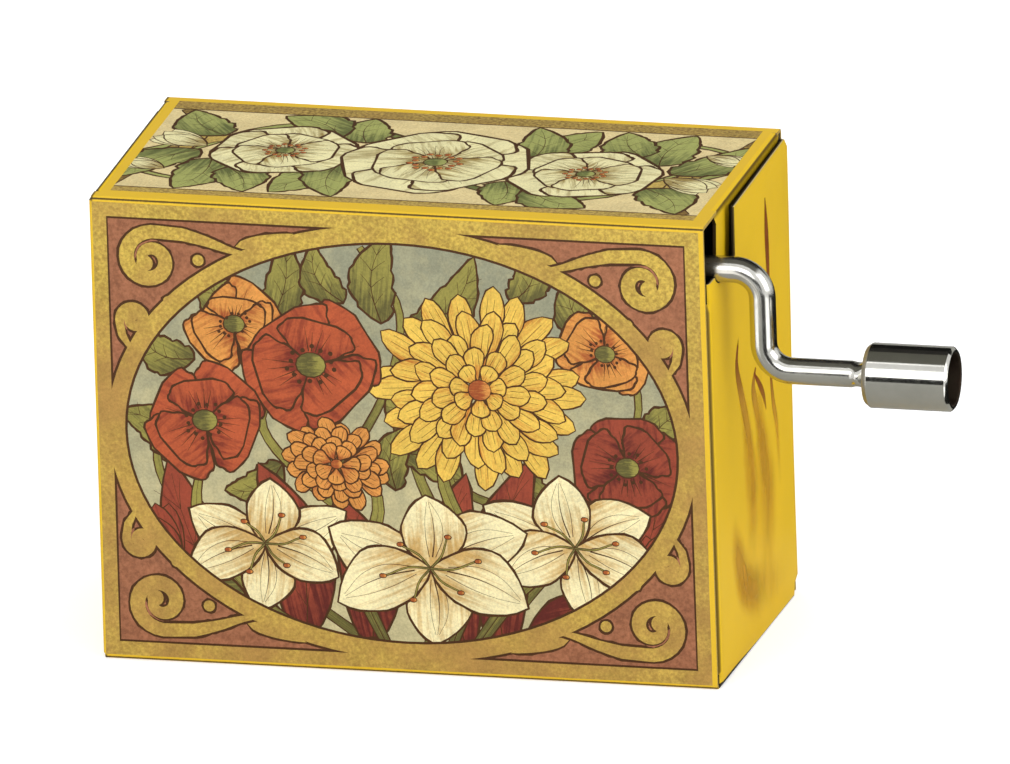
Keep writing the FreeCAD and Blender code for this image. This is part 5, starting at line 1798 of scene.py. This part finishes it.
def pin_tree(material):
    """Geometry Nodes: a round tapered pin on every point, along its "direction" attribute."""
    tree = bpy.data.node_groups.new("drum_pins", "GeometryNodeTree")
    face = tree.interface
    face.new_socket("Geometry", in_out="INPUT", socket_type="NodeSocketGeometry")
    for label, value in (("Root Radius", 0.22), ("Tip Radius", 0.12), ("Pin Height", 0.72)):
        socket = face.new_socket(label, in_out="INPUT", socket_type="NodeSocketFloat")
        socket.default_value = value * MM
    face.new_socket("Geometry", in_out="OUTPUT", socket_type="NodeSocketGeometry")
    w = Wiring(tree)
    given = w.add("NodeGroupInput").outputs
    out = w.add("NodeGroupOutput").inputs
    cone = w.add("GeometryNodeMeshCone", {"Vertices": 10, "Radius Top": given["Tip Radius"],
                                          "Radius Bottom": given["Root Radius"],
                                          "Depth": given["Pin Height"]}).outputs["Mesh"]
    direction = w.add("GeometryNodeInputNamedAttribute", {"Name": "direction"},
                      data_type="FLOAT_VECTOR").outputs["Attribute"]
    turn = w.add("FunctionNodeAlignRotationToVector", {"Vector": direction},
                 axis="Z").outputs["Rotation"]
    placed = w.add("GeometryNodeInstanceOnPoints", {"Points": given["Geometry"], "Instance": cone,
                                                    "Rotation": turn}).outputs["Instances"]
    solid = w.add("GeometryNodeRealizeInstances", {"Geometry": placed}).outputs["Geometry"]
    coated = w.add("GeometryNodeSetMaterial", {"Geometry": solid,
                                               "Material": material}).outputs["Geometry"]
    tree.links.new(coated, out["Geometry"])
    return tree


def loose_parts(build):
    """The corners of each part of a mesh that hangs together."""
    parts, seen = [], set()
    for start in build.verts:
        if start in seen:
            continue
        part, front = [], [start]
        seen.add(start)
        while front:
            vertex = front.pop()
            part.append(vertex.co.copy())
            for edge in vertex.link_edges:
                other = edge.other_vert(vertex)
                if other not in seen:
                    seen.add(other)
                    front.append(other)
        parts.append(part)
    return parts


def pin_feet():
    """Foot and direction of each pin, from the frame's own pins."""
    source = bmesh.new()
    source.from_mesh(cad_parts["drum_pins"].data)
    bmesh.ops.remove_doubles(source, verts=source.verts, dist=1e-7)
    low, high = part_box("drum_sleeve")
    axis = (low + high) / 2
    feet = []
    for part in loose_parts(source):
        middle = sum(part, Vector()) / len(part)
        out = Vector((middle.x - axis.x, middle.y - axis.y, 0)).normalized()
        foot = Vector((axis.x, axis.y, middle.z)) + out * ((high.x - low.x) / 2 - 0.1 * MM)
        feet.append((foot, out))
    source.free()
    return feet


def make_pins(material):
    """Round pins on the drum, made by Geometry Nodes on one point each."""
    feet = pin_feet()
    mesh = bpy.data.meshes.new("drum_pins_round")
    mesh.from_pydata([foot for foot, _ in feet], [], [])
    directions = mesh.attributes.new("direction", "FLOAT_VECTOR", "POINT")
    for spot, (_, out) in zip(directions.data, feet):
        spot.vector = out
    piece = bpy.data.objects.new("drum_pins_round", mesh)
    bpy.context.scene.collection.objects.link(piece)
    modifier = piece.modifiers.new("pins", "NODES")
    modifier.node_group = pin_tree(material)
    graph = bpy.context.evaluated_depsgraph_get()
    made = bpy.data.meshes.new_from_object(piece.evaluated_get(graph))
    piece.modifiers.clear()
    piece.data = made
    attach(piece, "drum")
    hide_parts("drum_pins")


class MUSICBOX_PT_pieces(bpy.types.Panel):
    """Buttons for the stage and each group of pieces"""
    bl_idname = "MUSICBOX_PT_pieces"
    bl_label = "Music box"
    bl_space_type = "VIEW_3D"
    bl_region_type = "UI"
    bl_category = "Music box"

    def draw(self, context):
        for operator in OPERATORS:
            self.layout.operator(operator.bl_idname)


OPERATORS = (MUSICBOX_OT_stage, MUSICBOX_OT_card, MUSICBOX_OT_closing_panel,
             MUSICBOX_OT_closing_print, MUSICBOX_OT_front_print, MUSICBOX_OT_top_print,
             MUSICBOX_OT_back_print, MUSICBOX_OT_crank, MUSICBOX_OT_movement)
GROUPS = {"music_box_inks": MusicBoxInks, "music_box_finishes": MusicBoxFinishes,
          "music_box_sizes": MusicBoxSizes}


def register():
    for name, group in GROUPS.items():
        bpy.utils.register_class(group)
        setattr(bpy.types.Scene, name, bpy.props.PointerProperty(type=group))
    for operator in OPERATORS:
        bpy.utils.register_class(operator)
    bpy.utils.register_class(MUSICBOX_PT_pieces)


def unregister():
    bpy.utils.unregister_class(MUSICBOX_PT_pieces)
    for operator in reversed(OPERATORS):
        bpy.utils.unregister_class(operator)
    for name, group in GROUPS.items():
        delattr(bpy.types.Scene, name)
        bpy.utils.unregister_class(group)


def main():
    register()
    bpy.ops.musicbox.stage()
    bpy.ops.musicbox.card()
    bpy.ops.musicbox.closing_panel()
    bpy.ops.musicbox.closing_print()
    bpy.ops.musicbox.front_print()
    bpy.ops.musicbox.top_print()
    bpy.ops.musicbox.back_print()
    bpy.ops.musicbox.crank()
    bpy.ops.musicbox.movement()


if __name__ == "__main__":
    main()
